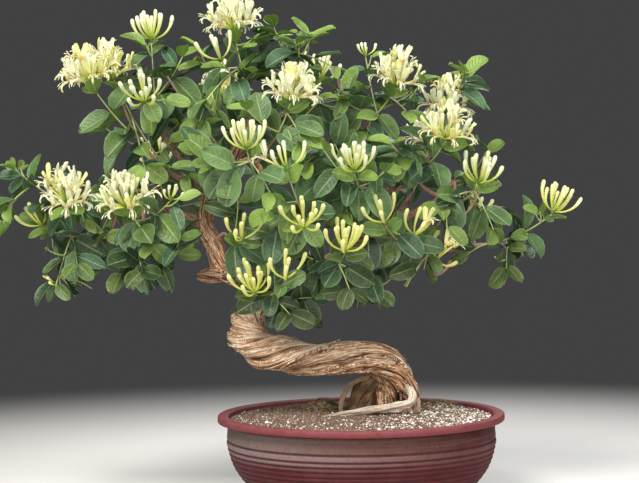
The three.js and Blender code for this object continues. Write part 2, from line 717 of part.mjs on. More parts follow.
// An opened flower has a broad lip that curls up and back, a narrow one that hangs, and stamens.
// Its mouth stands on a corner: the lip grows over it, the narrow lip and the stamens on its sides.
function growOpened(skin, face, line, axis, length) {
  const [slim, mouth] = framesOn(line, OPENED_SHARES);
  const forward = mouth.tangent;
  const up = axis.clone().addScaledVector(forward, -axis.dot(forward)).normalize();
  const side = forward.clone().cross(up);
  const onCorner = { point: mouth.point, normal: up.clone().negate(), binormal: side.clone().negate() };
  skin.extend(face, threeAt(slim, TUBE_RADIUS));
  skin.extend(face, threeAt(onCorner, MOUTH_RADIUS));
  const at = ([ahead, above, aside]) => mouth.point.clone()
    .addScaledVector(forward, ahead * length)
    .addScaledVector(up, above * length)
    .addScaledVector(side, aside * length);
  const reach = (part, way) => skin.corners(part).reduce((sum, corner) => sum + corner.dot(way), 0);
  const furthest = (way) => (p, q) => reach(q, way) - reach(p, way);
  const throat = mouth.point.clone().addScaledVector(forward, THROAT_RISE);
  const [lip, ...lower] = skin.split(face, throat).sort(furthest(up));
  const [low, middle] = lower.sort(furthest(side));
  const curl = at(LIP_CURL);
  skin.extend(lip, [[side, 1], [forward, 0.5], [side, -1]].map(([way, share]) =>
    curl.clone().addScaledVector(way, share * LIP_HALF_WIDTH)));
  skin.split(lip, at(LIP_TIP));
  skin.split(low, at(LOWER_LIP_TIP));
  skin.split(middle, at(STAMEN_TIP));
}

// One head: its heart and its flowers, each of which tries to stay clear of what stands already.
function grownHead(shoot, draw) {
  const form = HEADS[shoot.kind];
  const axis = shoot.line.getTangent(1).addScaledVector(UP, HEAD_UPTURN).normalize();
  const across = RIGHT.clone().addScaledVector(axis, -axis.x).normalize();
  const foot = shoot.line.getPoint(1).addScaledVector(axis, isHead(shoot.kind) ? END_GAP : -TINY_SINK);
  const { skin, centre, places } = heartOf(foot, axis, across, 72 * draw());
  const flowers = form.places.map((place) => {
    const length = FLOWER_LENGTH * form.size * (place < 5 ? 1 : UPPER_FLOWERS) * (0.9 + 0.2 * draw());
    return { place, length, opened: draw() < form.opened };
  });
  const outers = [];
  for (const flower of flowers) {
    const face = places[flower.place];
    const corners = skin.corners(face);
    const start = corners[0].clone().add(corners[1]).add(corners[2]).divideScalar(3);
    const outward = start.clone().sub(centre).normalize();
    const grow = (target, targetFace, line) => {
      if (flower.opened) growOpened(target, targetFace, line, axis, flower.length);
      else growBud(target, targetFace, line);
    };
    const before = skin.solid();
    for (const tried of FLOWER_TRIES) {
      const line = flowerLine(start, outward, axis, flower, tried);
      const trial = Skin.seed(corners);
      grow(trial, 0, line);
      const solid = trial.solid();
      const outer = solid.trimByPlane(outward.toArray(), outward.dot(start) + OWN_REACH);
      if (!isClear(solid, LEAF_GAP) || overlap(solid, before)) continue;
      if (outers.some((other) => other.minGap(outer, FLOWER_GAP) < FLOWER_GAP)) continue;
      grow(skin, face, line);
      outers.push(outer);
      break;
    }
  }
  return skin.solid();
}

// ---------------------------------------------------------------- growing the plant

// Solids that a new leaf or flower must stay clear of, and the spray that each belongs to.
const standing = [];

const boxOf = (solid) => {
  const { min, max } = solid.boundingBox();
  return new THREE.Box3(vector(min), vector(max));
};

const overlap = (one, other) => one.intersect(other).volume() > ROOT_OVERLAP;

const stand = (solid, owner) => standing.push({ solid, owner, box: boxOf(solid) });

function isClear(solid, gap, exceptOwner) {
  const box = boxOf(solid).expandByScalar(gap);
  return standing.every((other) => (other.owner && other.owner === exceptOwner)
    || !box.intersectsBox(other.box) || solid.minGap(other.solid, gap) >= gap);
}

// Wood and stems stand first, then the flowers, then leaves wherever there is room for them.
const sprays = SPRAYS.map(plannedSpray);
const limbs = Object.values(LIMB_LINES).map(({ curve, radii }) => tube(curve, radii, LIMB_SIDES));
const stub = smoothLine(STUB, 3);
const twigs = sprays.map(({ twig }) => tube(twig, TWIG_RADII, TWIG_SIDES));
const wood = fused([...stumpSolids(0), ...limbs, tube(stub.curve, stub.radii, LIMB_SIDES), ...twigs]);
stand(wood);

// The face of its joint that a side shoot grows from: it looks the shoot's way, and there
// the shoot crosses nothing.
function wallFor(skin, shoot) {
  const before = skin.solid();
  return wallsFacing(skin, shoot.fork, shoot.line.getTangent(0)).slice(0, FORK_WALLS).find((wall) => {
    const trial = Skin.seed(skin.corners(wall));
    growStem(trial, 0, shoot);
    return !overlap(trial.solid(), before);
  });
}

// The main shoot starts from a flat triangle at its base, and each side shoot from a face of a joint.
for (const spray of sprays) {
  const [main, ...sides] = spray.shoots;
  spray.skin = Skin.seed(ringAt(framesOn(main.line, [0])[0], SHOOT_RADIUS, 3));
  growStem(spray.skin, 0, main);
  for (const shoot of sides) {
    const wall = takeWall(shoot.fork, wallFor(spray.skin, shoot));
    growStem(spray.skin, wall, shoot);
  }
  stand(spray.skin.solid(), spray);
}

const heads = [];
sprays.forEach((spray, s) => spray.shoots.forEach((shoot, i) => {
  if (shoot.kind === "leaf") return;
  const head = grownHead(shoot, drawsFrom(100 * s + i));
  stand(head);
  if (isHead(shoot.kind)) heads.push({ name: `flower_head_${s + 1}_${i + 1}`, solid: head });
  else spray.tiny.push(head);
}));

// A leaf from one face of a joint, if it has room there and its root crosses nothing of its own spray.
function fittingLeaf(spray, wall, leaf) {
  const trial = Skin.seed(spray.skin.corners(wall));
  growLeaf(trial, 0, leaf);
  const whole = trial.solid();
  const free = whole.trimByPlane(leaf.forward.toArray(), leaf.forward.dot(leaf.base) + LEAF_ROOT);
  if (!isClear(whole, LEAF_GAP, spray) || !isClear(free, LEAF_GAP)) return undefined;
  return spray.roots.some((root) => overlap(root, whole)) ? undefined : { whole, free };
}

let leafCount = 0;
for (const spray of sprays) {
  spray.roots = [spray.skin.solid()];
  for (const pair of spray.shoots.flatMap((shoot) => shoot.pairs)) {
    for (const leaf of pair.leaves) {
      for (const tried of LEAF_TRIES) {
        const grown = grownLeaf(leaf, tried);
        const [wall] = wallsFacing(spray.skin, pair, grown.forward);
        const fit = fittingLeaf(spray, wall, grown);
        if (!fit) continue;
        stand(fit.free, spray);
        spray.roots.push(fit.whole);
        growLeaf(spray.skin, takeWall(pair, wall), grown);
        leafCount++;
        break;
      }
    }
  }
}

// ---------------------------------------------------------------- the group

const FINISHES = {
  pot: { color: 0x7c3b3a, roughness: 0.55, metalness: 0 },
  soil: { color: 0x8d7d6c, roughness: 1, metalness: 0 },
  wood: { color: 0xa57c58, roughness: 0.9, metalness: 0 },
  leaf: { color: 0x4d7a3c, roughness: 0.6, metalness: 0 },
  petal: { color: 0xf0e7a0, roughness: 0.5, metalness: 0 },
};

const vine = new THREE.Group();

function addPiece(name, solid, finish) {
  const mesh = solid.asOriginal().simplify(TOLERANCE).getMesh();
  const geometry = new THREE.BufferGeometry();
  geometry.setAttribute("position", new THREE.BufferAttribute(mesh.vertProperties, mesh.numProp));
  geometry.setIndex(new THREE.BufferAttribute(mesh.triVerts, 1));
  geometry.computeVertexNormals();
  const piece = new THREE.Mesh(geometry, new THREE.MeshStandardMaterial(FINISHES[finish]));
  piece.name = name;
  vine.add(piece);
}

addPiece("pot", potSolid(), "pot");
addPiece("soil", soilSolid(fused(stumpSolids(CLEARANCE))), "soil");
addPiece("trunk", wood, "wood");
sprays.forEach(({ skin, tiny }, s) => {
  addPiece(`leafy_spray_${s + 1}`, fused([skin.solid(), ...tiny]), "leaf");
});
heads.forEach(({ name, solid }) => addPiece(name, solid, "petal"));
console.log(`${leafCount} leaves, ${heads.length} flower heads`);

export default vine;
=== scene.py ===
# %% [markdown]
# # A bonsai honeysuckle in its pot
#
# A climbing honeysuckle grown as a small tree: one twisted trunk, a crown of leafy shoots with
# opposite leaves, and heads of long curved flowers, in a shallow clay bowl of grit. The frame
# that is loaded first is the same plant as plain solids. This script dresses it: each piece
# below stands where its solid stands, and is finer. The tables are in millimetres, with the
# origin under the middle of the bowl, +Z up and -Y to the front.

# %% Load the fixed frame
import math

import bpy
import numpy as np
from mathutils import Matrix, Vector, kdtree, noise


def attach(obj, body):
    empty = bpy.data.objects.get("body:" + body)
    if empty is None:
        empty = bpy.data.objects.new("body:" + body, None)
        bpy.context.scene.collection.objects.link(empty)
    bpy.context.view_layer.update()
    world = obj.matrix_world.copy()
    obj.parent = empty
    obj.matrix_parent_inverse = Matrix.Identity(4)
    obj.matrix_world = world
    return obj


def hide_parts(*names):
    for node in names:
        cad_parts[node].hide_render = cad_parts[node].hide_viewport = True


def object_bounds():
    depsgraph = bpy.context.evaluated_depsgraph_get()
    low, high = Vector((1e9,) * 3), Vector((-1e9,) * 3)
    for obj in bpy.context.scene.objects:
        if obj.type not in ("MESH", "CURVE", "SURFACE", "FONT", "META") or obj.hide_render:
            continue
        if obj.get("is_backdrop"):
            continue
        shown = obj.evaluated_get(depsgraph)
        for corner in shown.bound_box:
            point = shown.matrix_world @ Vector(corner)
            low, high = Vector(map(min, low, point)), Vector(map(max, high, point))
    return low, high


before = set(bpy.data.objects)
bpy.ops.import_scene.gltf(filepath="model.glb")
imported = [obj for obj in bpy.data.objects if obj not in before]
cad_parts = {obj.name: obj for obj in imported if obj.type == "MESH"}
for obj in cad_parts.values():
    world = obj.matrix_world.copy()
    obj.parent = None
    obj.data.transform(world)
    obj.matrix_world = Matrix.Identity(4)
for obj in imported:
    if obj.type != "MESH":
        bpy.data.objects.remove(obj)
CAD_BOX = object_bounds()
MM = 0.001
print("nodes to dress:", len(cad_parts))

# %% [markdown]
# ## Small tools
#
# A plant repeats a few forms with chance in each. Chance here comes from a counter that always
# starts from a fixed seed, so that the plant is the same on each run, and so that leaves and
# flowers fall exactly where the solids have them.

# %% Chance, directions and turns
UP = np.array([0.0, 0.0, 1.0])


def draws_from(seed):
    state = (seed * 7919 + 17) % 2**32

    def draw():
        nonlocal state
        state = (state * 1664525 + 1013904223) % 2**32
        return state / 2**32

    return draw


def unit(v):
    return v / np.linalg.norm(v)


def turned(v, axis, degrees):
    """v turned about an axis of length one."""
    a = math.radians(degrees)
    return (v * math.cos(a) + np.cross(axis, v) * math.sin(a)
            + axis * axis.dot(v) * (1 - math.cos(a)))


def eased(x, low, high):
    """0 below low, 1 above high, and smooth between."""
    t = np.clip((np.asarray(x, float) - low) / (high - low), 0, 1)
    return t * t * (3 - 2 * t)


# %% [markdown]
# Wood and stems follow two kinds of line: a smooth line through a row of points, for what was
# trained by hand, and a simple bend between two ends, for what sags or reaches by itself.

# %% Lines to grow along
def smooth_line(rows, shares):
    """Points on a smooth line through rows, at shares of the way from the first to the last."""
    p = np.asarray(rows, float)
    p = np.vstack([2 * p[0] - p[1], p, 2 * p[-1] - p[-2]])
    along = np.clip(np.atleast_1d(np.asarray(shares, float)), 0, 1) * (len(rows) - 1)
    k = np.minimum(along.astype(int), len(rows) - 2)
    w = (along - k)[:, None]
    out, into = (p[k + 2] - p[k]) / 2, (p[k + 3] - p[k + 1]) / 2
    return ((2 * w**3 - 3 * w**2 + 1) * p[k + 1] + (w**3 - 2 * w**2 + w) * out
            + (3 * w**2 - 2 * w**3) * p[k + 2] + (w**3 - w**2) * into)


class Bend:
    """A line from start to end that is drawn towards a middle point."""

    STEP = 1e-4

    def __init__(self, start, middle, end):
        self.start, self.middle, self.end = (np.asarray(p, float) for p in (start, middle, end))

    def at(self, share):
        t = np.atleast_1d(np.asarray(share, float))[:, None]
        points = (1 - t)**2 * self.start + 2 * t * (1 - t) * self.middle + t * t * self.end
        return points if np.ndim(share) else points[0]

    def heading(self, share):
        return unit(self.at(min(share + self.STEP, 1.0)) - self.at(max(share - self.STEP, 0.0)))

    def length(self):
        return np.linalg.norm(np.diff(self.at(np.linspace(0, 1, 201)), axis=0), axis=1).sum()


def frames_on(points, normal=None):
    """At each point of a line its heading, and two ways across that turn as little as they can."""
    ahead = np.gradient(points, axis=0)
    ahead /= np.linalg.norm(ahead, axis=1)[:, None]
    if normal is None:
        normal = np.cross(UP if abs(ahead[0][2]) < 0.9 else [0.0, 1.0, 0.0], ahead[0])
    normals = []
    for t in ahead:
        normal = unit(normal - t * normal.dot(t))
        normals.append(normal)
    normals = np.array(normals)
    return ahead, normals, np.cross(ahead, normals)


# %% [markdown]
# ## Tools for meshes and nodes
#
# Every piece starts as a list of points and faces, so one helper makes a mesh object from them,
# with any values that its finish reads stored on the points. A second helper adds a node to a
# tree and joins its inputs, so that trees for shape and for colour can both be written as short
# sums.

# %% Mesh objects
KINDS = {"f": ("FLOAT", "value"), "v": ("FLOAT_VECTOR", "vector")}


def mesh_object(name, points, faces=(), edges=(), values=None):
    """An object at the origin from points in millimetres. values maps a name to kind and data."""
    mesh = bpy.data.meshes.new(name)
    mesh.from_pydata((np.asarray(points, float) * MM).tolist(), list(edges), list(faces))
    for key, (kind, data) in (values or {}).items():
        layer, field = KINDS[kind]
        attribute = mesh.attributes.new(key, layer, "POINT")
        attribute.data.foreach_set(field, np.asarray(data, float).ravel())
    mesh.validate()
    if len(mesh.polygons):
        mesh.shade_smooth()
    return linked(name, mesh)


def linked(name, data):
    """A new object in the scene that shows this mesh, lamp or camera."""
    thing = bpy.data.objects.new(name, data)
    bpy.context.scene.collection.objects.link(thing)
    return thing


def triangles(thing):
    return sum(len(p.vertices) - 2 for p in thing.data.polygons)


def loft(rings):
    """Faces through rings of equal size. A ring may be a single point, which closes it."""
    starts = np.cumsum([0] + [len(r) for r in rings])
    sides = max(len(r) for r in rings)
    corner = lambda i, k: int(starts[i] + (0 if len(rings[i]) == 1 else k % sides))
    faces = []
    for i in range(len(rings) - 1):
        for k in range(sides):
            a, b, c, d = corner(i, k), corner(i, k + 1), corner(i + 1, k + 1), corner(i + 1, k)
            faces.append([a, b, c] if c == d else [a, c, d] if a == b else [a, b, c, d])
    if len(rings[0]) > 1:
        faces.append([corner(0, k) for k in reversed(range(sides))])
    if len(rings[-1]) > 1:
        faces.append([corner(len(rings) - 1, k) for k in range(sides)])
    return np.vstack(rings), faces


def around(sides, start=0.0):
    return start + np.linspace(0, 2 * math.pi, sides, endpoint=False)


def level_ring(reach, height, angles):
    """Points round the axis. reach is one radius, or one for each point, and 0 is one point."""
    if np.ndim(reach) == 0 and reach == 0:
        return np.array([[0.0, 0.0, height]])
    return np.stack([reach * np.cos(angles), reach * np.sin(angles), height + 0 * angles], axis=1)


def finished(thing, piece_finish, slot, *nodes):
    """Gives a piece its finish and its body, and hides the solids that it stands for."""
    if piece_finish:
        thing.data.materials.clear()
        thing.data.materials.append(piece_finish)
    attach(thing, "root")
    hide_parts(*nodes)
    print(f"{thing.name}: {triangles(thing)} triangles")


# %% Nodes
def place(tree, kind, inputs=None, output=0, **settings):
    """Adds a node, joins or sets its inputs, and gives one of its outputs."""
    node = tree.nodes.new(kind)
    for key, value in settings.items():
        setattr(node, key, value)
    for key, value in (inputs or {}).items():
        if isinstance(value, bpy.types.NodeSocket):
            tree.links.new(value, node.inputs[key])
        else:
            node.inputs[key].default_value = value
    return node.outputs[output]


def sums(tree, operation, *terms):
    return place(tree, "ShaderNodeMath", dict(enumerate(terms)), operation=operation)


def between(tree, value, low, high, first=0.0, last=1.0):
    """first where value is low, last where it is high, and smooth between."""
    inputs = {"Value": value, "From Min": low, "From Max": high, "To Min": first, "To Max": last}
    return place(tree, "ShaderNodeMapRange", inputs, interpolation_type="SMOOTHSTEP")


# %% [markdown]
# ## Finishes
#
# A finish is a colour, a gloss and a fine relief, each of which changes over the surface. Colours
# are written as they would be matched by eye, from 0 to 255, and turned into light here. Patterns
# come from noise that is stretched or squeezed to the grain, or from values that are stored on
# the points, such as how deep in a groove of the bark a point lies.

# %% Colour tools
def colour(red, green, blue):
    light = [c / 255 for c in (red, green, blue)]
    return (*[c / 12.92 if c <= 0.04045 else ((c + 0.055) / 1.055)**2.4 for c in light], 1.0)


class Finish:
    """A material whose colour is painted in layers, one over the other."""

    def __init__(self, name, base, gloss=0.6, shine=0.5):
        self.material = bpy.data.materials.new(name)
        self.material.use_nodes = True
        self.tree = self.material.node_tree
        self.shader = self.tree.nodes["Principled BSDF"]
        self.shader.inputs["Roughness"].default_value = gloss
        self.shader.inputs["Specular IOR Level"].default_value = shine
        self.place_on = place(self.tree, "ShaderNodeTexCoord", output=3)
        self.base = colour(*base)

    def value(self, name, output=2):
        return place(self.tree, "ShaderNodeAttribute", output=output, attribute_name=name)

    def stretched(self, scale, source=None):
        return place(self.tree, "ShaderNodeMapping", {0: source or self.place_on, 3: scale})

    def grain(self, scale, detail=4.0, rough=0.55, source=None):
        inputs = {"Vector": source or self.place_on, "Scale": scale, "Detail": detail,
                  "Roughness": rough}
        return place(self.tree, "ShaderNodeTexNoise", inputs)

    def share(self, terms):
        """A share is a number, a value, or one that is eased: (value, low, high, first, last)."""
        return between(self.tree, *terms) if isinstance(terms, tuple) else terms

    def times(self, *shares):
        return sums(self.tree, "MULTIPLY", *map(self.share, shares))

    def mixed(self, share, under, over, **settings):
        under, over = (colour(*tone) if isinstance(tone, tuple) and len(tone) == 3 else tone
                       for tone in (under, over))
        return place(self.tree, "ShaderNodeMix", {0: self.share(share), 6: under, 7: over}, 2,
                     data_type="RGBA", **settings)

    def wash(self, share, over):
        """Lays a colour over what is there, where share is one."""
        self.base = self.mixed(share, self.base, over)

    def shade(self, share, factor):
        """Darkens what is there."""
        self.base = self.mixed(share, self.base, (factor, factor, factor, 1.0),
                               blend_type="MULTIPLY")

    def relief(self, height, depth):
        normal = self.shader.inputs["Normal"]
        inputs = {"Height": height, "Distance": depth, "Strength": 1.0}
        if normal.is_linked:
            inputs["Normal"] = normal.links[0].from_socket
        self.tree.links.new(place(self.tree, "ShaderNodeBump", inputs), normal)

    def gloss(self, value):
        self.tree.links.new(value, self.shader.inputs["Roughness"])

    def surface(self, share, other):
        """Mixes another shader in and makes the result the surface."""
        end = next(n for n in self.tree.nodes if n.type == "OUTPUT_MATERIAL")
        both = place(self.tree, "ShaderNodeMixShader",
                     {0: self.share(share), 1: self.shader.outputs[0], 2: other})
        self.tree.links.new(both, end.inputs["Surface"])

    def done(self, lets_through=0.0):
        """Joins the colour. A thin leaf or petal also lets some light through to its far side."""
        self.tree.links.new(self.base, self.shader.inputs["Base Color"])
        if lets_through:
            self.surface(lets_through,
                         place(self.tree, "ShaderNodeBsdfTranslucent", {"Color": self.base}))
        return self.material


# %% [markdown]
# ## The bowl
#
# A bowl thrown on the wheel from dark red clay. Its wall carries the potter's throwing rings
# below a smooth belt, and a heavy lip overhangs it. A Screw modifier or a sculpted ring could
# make it, but a thrown bowl is one outline turned about its axis, so the outline is drawn in
# fine steps, the rings are added to it as ripples, and it is turned by hand in code.

# %% Outline of the bowl, as radius and height
WALL = [[112, 0.6], [126, 5], [145, 22], [160, 43], [168, 68], [168.4, 82], [167, 97.8]]
LIP = [[168.6, 98.5], [173, 98.8], [177.6, 99.1], [179.5, 99.8], [180.0, 101.0], [180.0, 105.4],
       [179.6, 106.8], [178.4, 107.7], [176.2, 108.0], [171.4, 107.6], [168.2, 107.4],
       [166.7, 106.8], [166.1, 105.4]]
INSIDE = [[165.6, 101], [162, 72], [142, 34], [112, 12], [0, 12]]
GROOVES = [77.4, 68.6, 62.2, 56.2, 50.0, 44.2, 38.4, 32.4, 26.8, 21.2, 15.6, 10.4]
GROOVE_WIDTH, GROOVE_DEPTH, RIDGE_SWELL = 1.5, 1.1, 0.35
WALL_STEPS, BOWL_SIDES = 190, 176


def groove_depth(height):
    """How deep in a groove a height lies, from 0 on a ridge to 1."""
    away = np.abs(np.asarray(height, float)[..., None] - GROOVES).min(axis=-1)
    return np.exp(-(away / GROOVE_WIDTH)**2)


def thrown_wall():
    wall = smooth_line(WALL, np.linspace(0, 1, WALL_STEPS))
    height = wall[:, 1]
    ringed = eased(height, 4, 9) * (1 - eased(height, 79, 84))
    wall[:, 0] += ringed * (RIDGE_SWELL - (GROOVE_DEPTH + RIDGE_SWELL) * groove_depth(height))
    return wall


def turned_body(profile, sides, wobble=0.0):
    """Turns an outline of radius and height about the axis. wobble is the hand's unevenness."""
    angles = around(sides)
    uneven = lambda r, z: r and r + wobble * np.sin(3 * angles + 0.05 * z) * r / 180
    return loft([level_ring(uneven(r, z), z, angles) for r, z in profile])


bowl = mesh_object("bowl", *turned_body([[0, 0], [108, 0], *thrown_wall(), *LIP, *INSIDE],
                                        BOWL_SIDES, wobble=0.25))
print("bowl", triangles(bowl))

# %% [markdown]
# Three drain holes go through the floor. They are cut with a Boolean modifier, which is applied
# at once, so that nothing live is left on the piece.

# %% Drain holes
DRAINS, DRAIN_RADIUS, DRAIN_CIRCLE, DRAIN_SIDES = 3, 7.0, 62.0, 24


def plain(thing):
    """Turns an object with modifiers into its plain result."""
    graph = bpy.context.evaluated_depsgraph_get()
    graph.update()
    mesh = bpy.data.meshes.new_from_object(thing.evaluated_get(graph), depsgraph=graph)
    thing.modifiers.clear()
    old, thing.data = thing.data, mesh
    bpy.data.meshes.remove(old)
    return thing


def discard(*things):
    for thing in things:
        bpy.data.objects.remove(thing, do_unlink=True)


def drain_plugs():
    points, faces = loft([level_ring(DRAIN_RADIUS, z, around(DRAIN_SIDES)) for z in (-20, 30)])
    everything, walls = [], []
    for i in range(DRAINS):
        angle = 2 * math.pi * (i + 0.25) / DRAINS
        walls += [[k + len(points) * i for k in face] for face in faces]
        everything.append(points + DRAIN_CIRCLE * np.array([math.cos(angle), math.sin(angle), 0]))
    return mesh_object("drain_plugs", np.vstack(everything), walls)


plugs = drain_plugs()
cut = bowl.modifiers.new("Drains", "BOOLEAN")
cut.operation, cut.object, cut.solver = "DIFFERENCE", plugs, "EXACT"
plain(bowl)
discard(plugs)

# %% [markdown]
# The clay is a dark, dull red on the foot, browner and greyer on the smooth belt where glaze and
# lime have dried on it, and rosy with dust on the lip. Lime has caught on the ridges, and the
# grooves are darkened as painted shade, so each point of the bowl stores how deep in a groove it
# lies. A band of painted shadow lies just under the overhanging lip. The wheel leaves fine level
# streaks all round, so the noise is squeezed along Z.

# %% Clay finish
INSIDE_REACH = ([0, 12, 34, 72, 101], [0, 114, 146, 165, 167])
spots = np.array([vertex.co for vertex in bowl.data.vertices]) / MM
heights = spots[:, 2]
outside = np.hypot(spots[:, 0], spots[:, 1]) > np.interp(heights, *INSIDE_REACH)
bowl.data.attributes.new("groove", "FLOAT", "POINT").data.foreach_set(
    "value", groove_depth(heights) * outside * (heights < 82))


def clay_finish():
    clay = Finish("Thrown red clay", (62, 15, 17), gloss=0.6, shine=0.1)
    axes = clay.tree.nodes.new("ShaderNodeSeparateXYZ")
    clay.tree.links.new(clay.place_on, axes.inputs[0])
    aside, height, groove = axes.outputs[0], axes.outputs[2], clay.value("groove")
    streaks = clay.grain(1.0, 5.0, 0.6, clay.stretched((6.0, 6.0, 420.0)))
    clouds = clay.grain(14.0, 4.0, 0.6)
    clay.wash((streaks, 0.42, 0.7), (82, 28, 30))
    limy = clay.times((height, 0.056, 0.072), (clouds, 0.2, 0.6, 0.7, 1.0))
    clay.wash(limy, (88, 65, 55))
    clay.wash(clay.times(limy, (aside, 0.02, -0.14, 0.0, 0.9)), (107, 100, 94))
    clay.wash(clay.times(limy, (aside, 0.03, 0.13, 0.0, 0.95)), (61, 32, 28))
    crest = clay.times((groove, 0.02, 0.5, 1.0, 0.0), (height, 0.079, 0.075))
    clay.wash(clay.times(crest, (height, 0.054, 0.071, 0.05, 0.75)),
              clay.mixed((aside, -0.1, 0.12), (128, 109, 110), (90, 62, 58)))
    clay.wash(clay.times((streaks, 0.5, 0.72, 0.0, 0.4), limy), (118, 96, 88))
    # Painted shade: the grooves of the throwing rings are washed dark.
    clay.wash((groove, 0.2, 0.85, 0.0, 0.9), (52, 20, 20))
    # Painted shadow: a dark band just under the overhanging lip.
    clay.wash((height, 0.0935, 0.0985), (46, 18, 17))
    clay.wash((height, 0.0982, 0.1), (112, 50, 54))
    dust = clay.times((height, 0.1, 0.1075, 0.2, 0.9),
                      (clay.grain(50.0, 5.0), 0.35, 0.65, 0.5, 1.0))
    clay.wash(dust, (124, 72, 74))
    clay.wash(clay.times(dust, (aside, 0.06, 0.17, 0.0, 0.6)), (112, 52, 54))
    clay.shade((clay.grain(220.0, 3.0), 0.35, 0.5, 0.4, 0.0), 0.6)
    clay.relief(streaks, 0.0006)
    clay.relief(clay.grain(400.0, 3.0), 0.0002)
    clay.gloss(clay.share((clouds, 0.3, 0.7, 0.5, 0.7)))
    return clay.done()


finished(bowl, clay_finish(), "pot", "pot")

# %% [markdown]
# ## The soil
#
# A bonsai stands in coarse grit, not in fine earth. A bed of packed soil fills the bowl and
# rises a little to the middle. It is turned like the bowl, and its top is then pushed up and
# down with noise, in code, because the same noise must stay out of the wall that it rests on.

# %% Soil bed
SOIL_EDGE, SOIL_CROWN, SOIL_RADIUS = 102.0, 111.0, 165.0
BED_RINGS, BED_SIDES = 54, 150
BED_WALL = [[0, 12.5], [111.5, 12.5], [141.5, 34.5], [161.5, 72], [164.8, 98]]
MOUNDS = [(-48, 8, 32, 14), (-12, 4, 30, -5), (108, 68, 34, 6), (70, 16, 26, 4)]


def bed_height(x, y):
    share = np.hypot(x, y) / SOIL_RADIUS
    level = SOIL_EDGE + (SOIL_CROWN - SOIL_EDGE) * (1 - share**2)
    bumps = [2.2 * noise.noise(Vector((a / 21, b / 21, 3.0))) + 1.1 * noise.noise(
        Vector((a / 6, b / 6, 9.0))) for a, b in zip(x, y)]
    mounds = sum(rise * (1 - eased(np.hypot(x - a, y - b), 0, reach))
                 for a, b, reach, rise in MOUNDS)
    return level + mounds + np.array(bumps) * (1 - eased(share, 0.93, 1.0))


def soil_bed():
    angles = around(BED_SIDES)
    rings = [level_ring(radius, height, angles) for radius, height in BED_WALL]
    for radius in np.linspace(SOIL_RADIUS, 0, BED_RINGS + 1)[:-1]:
        x, y = radius * np.cos(angles), radius * np.sin(angles)
        rings.append(np.stack([x, y, bed_height(x, y)], axis=1))
    points, faces = loft([*rings, level_ring(0, SOIL_CROWN, angles)])
    on_top = np.arange(len(points)) >= 1 + (len(BED_WALL) - 1) * BED_SIDES
    return mesh_object("soil_bed", points, faces, values={"on_top": ("f", on_top)})


bed = soil_bed()

# %% [markdown]
# The grit itself is thousands of small broken grains, grey, tan and white, with a few larger
# pale stones. Geometry Nodes scatter them on the top of the bed: the points are distributed by a
# density, each gets a broken grain of eight to thirty faces, a size and a turn, and a tone that
# its finish reads. One tree makes the fine grit, the pale grains, the stones and the moss, with
# its inputs set for each.

# %% Grain shapes
def broken_grain(name, seed, squash, heights=(-0.45, 0.45), corners=5):
    """A small stone: a bead of few faces with its corners pushed in and out."""
    draw = draws_from(seed)
    rings = [level_ring(math.sqrt(1 - z * z), z, around(corners, 0.6 * k))
             for k, z in enumerate(heights)]
    points, faces = loft([level_ring(0, -1, 0), *rings, level_ring(0, 1, 0)])
    points = points * np.array([[0.72 + 0.5 * draw()] for _ in points]) * squash
    grain = mesh_object(name, points / MM, faces)
    grain.data.shade_flat()
    return grain


def tuft(name):
    """A tuft of moss: seven pointed blades on one foot, each of three faces."""
    draw = draws_from(77)
    points, faces = [], []
    for k in range(7):
        way = np.array([math.cos(k * 2.4), math.sin(k * 2.4), 0])
        tip = way * (0.25 + 0.85 * draw()) + UP * (0.7 + 0.6 * draw())
        side = np.cross(way, UP) * 0.16
        foot = way * 0.2
        first = len(points)
        points += [foot + side, foot - side, foot + way * 0.16, tip]
        faces += [[first, first + 2, first + 3], [first + 2, first + 1, first + 3],
                  [first + 1, first, first + 3], [first, first + 1, first + 2]]
    return mesh_object(name, np.array(points) / MM, faces)


# %% Scatter tree
def new_tree(name, inputs):
    tree = bpy.data.node_groups.new(name, "GeometryNodeTree")
    tree.interface.new_socket("Geometry", in_out="INPUT", socket_type="NodeSocketGeometry")
    for key, kind in inputs.items():
        tree.interface.new_socket(key, in_out="INPUT", socket_type="NodeSocket" + kind)
    tree.interface.new_socket("Geometry", in_out="OUTPUT", socket_type="NodeSocketGeometry")
    entry = tree.nodes.new("NodeGroupInput").outputs
    exit_node = tree.nodes.new("NodeGroupOutput")
    return tree, entry, lambda last: tree.links.new(last, exit_node.inputs[0])


def named(tree, name, kind="FLOAT"):
    return place(tree, "GeometryNodeInputNamedAttribute", {"Name": name}, data_type=kind)


def chance(tree, low, high, seed, kind="FLOAT", output=1):
    first = {"FLOAT": 2, "FLOAT_VECTOR": 0}[kind]
    return place(tree, "FunctionNodeRandomValue", {first: low, first + 1: high, 8: seed}, output,
                 data_type=kind)


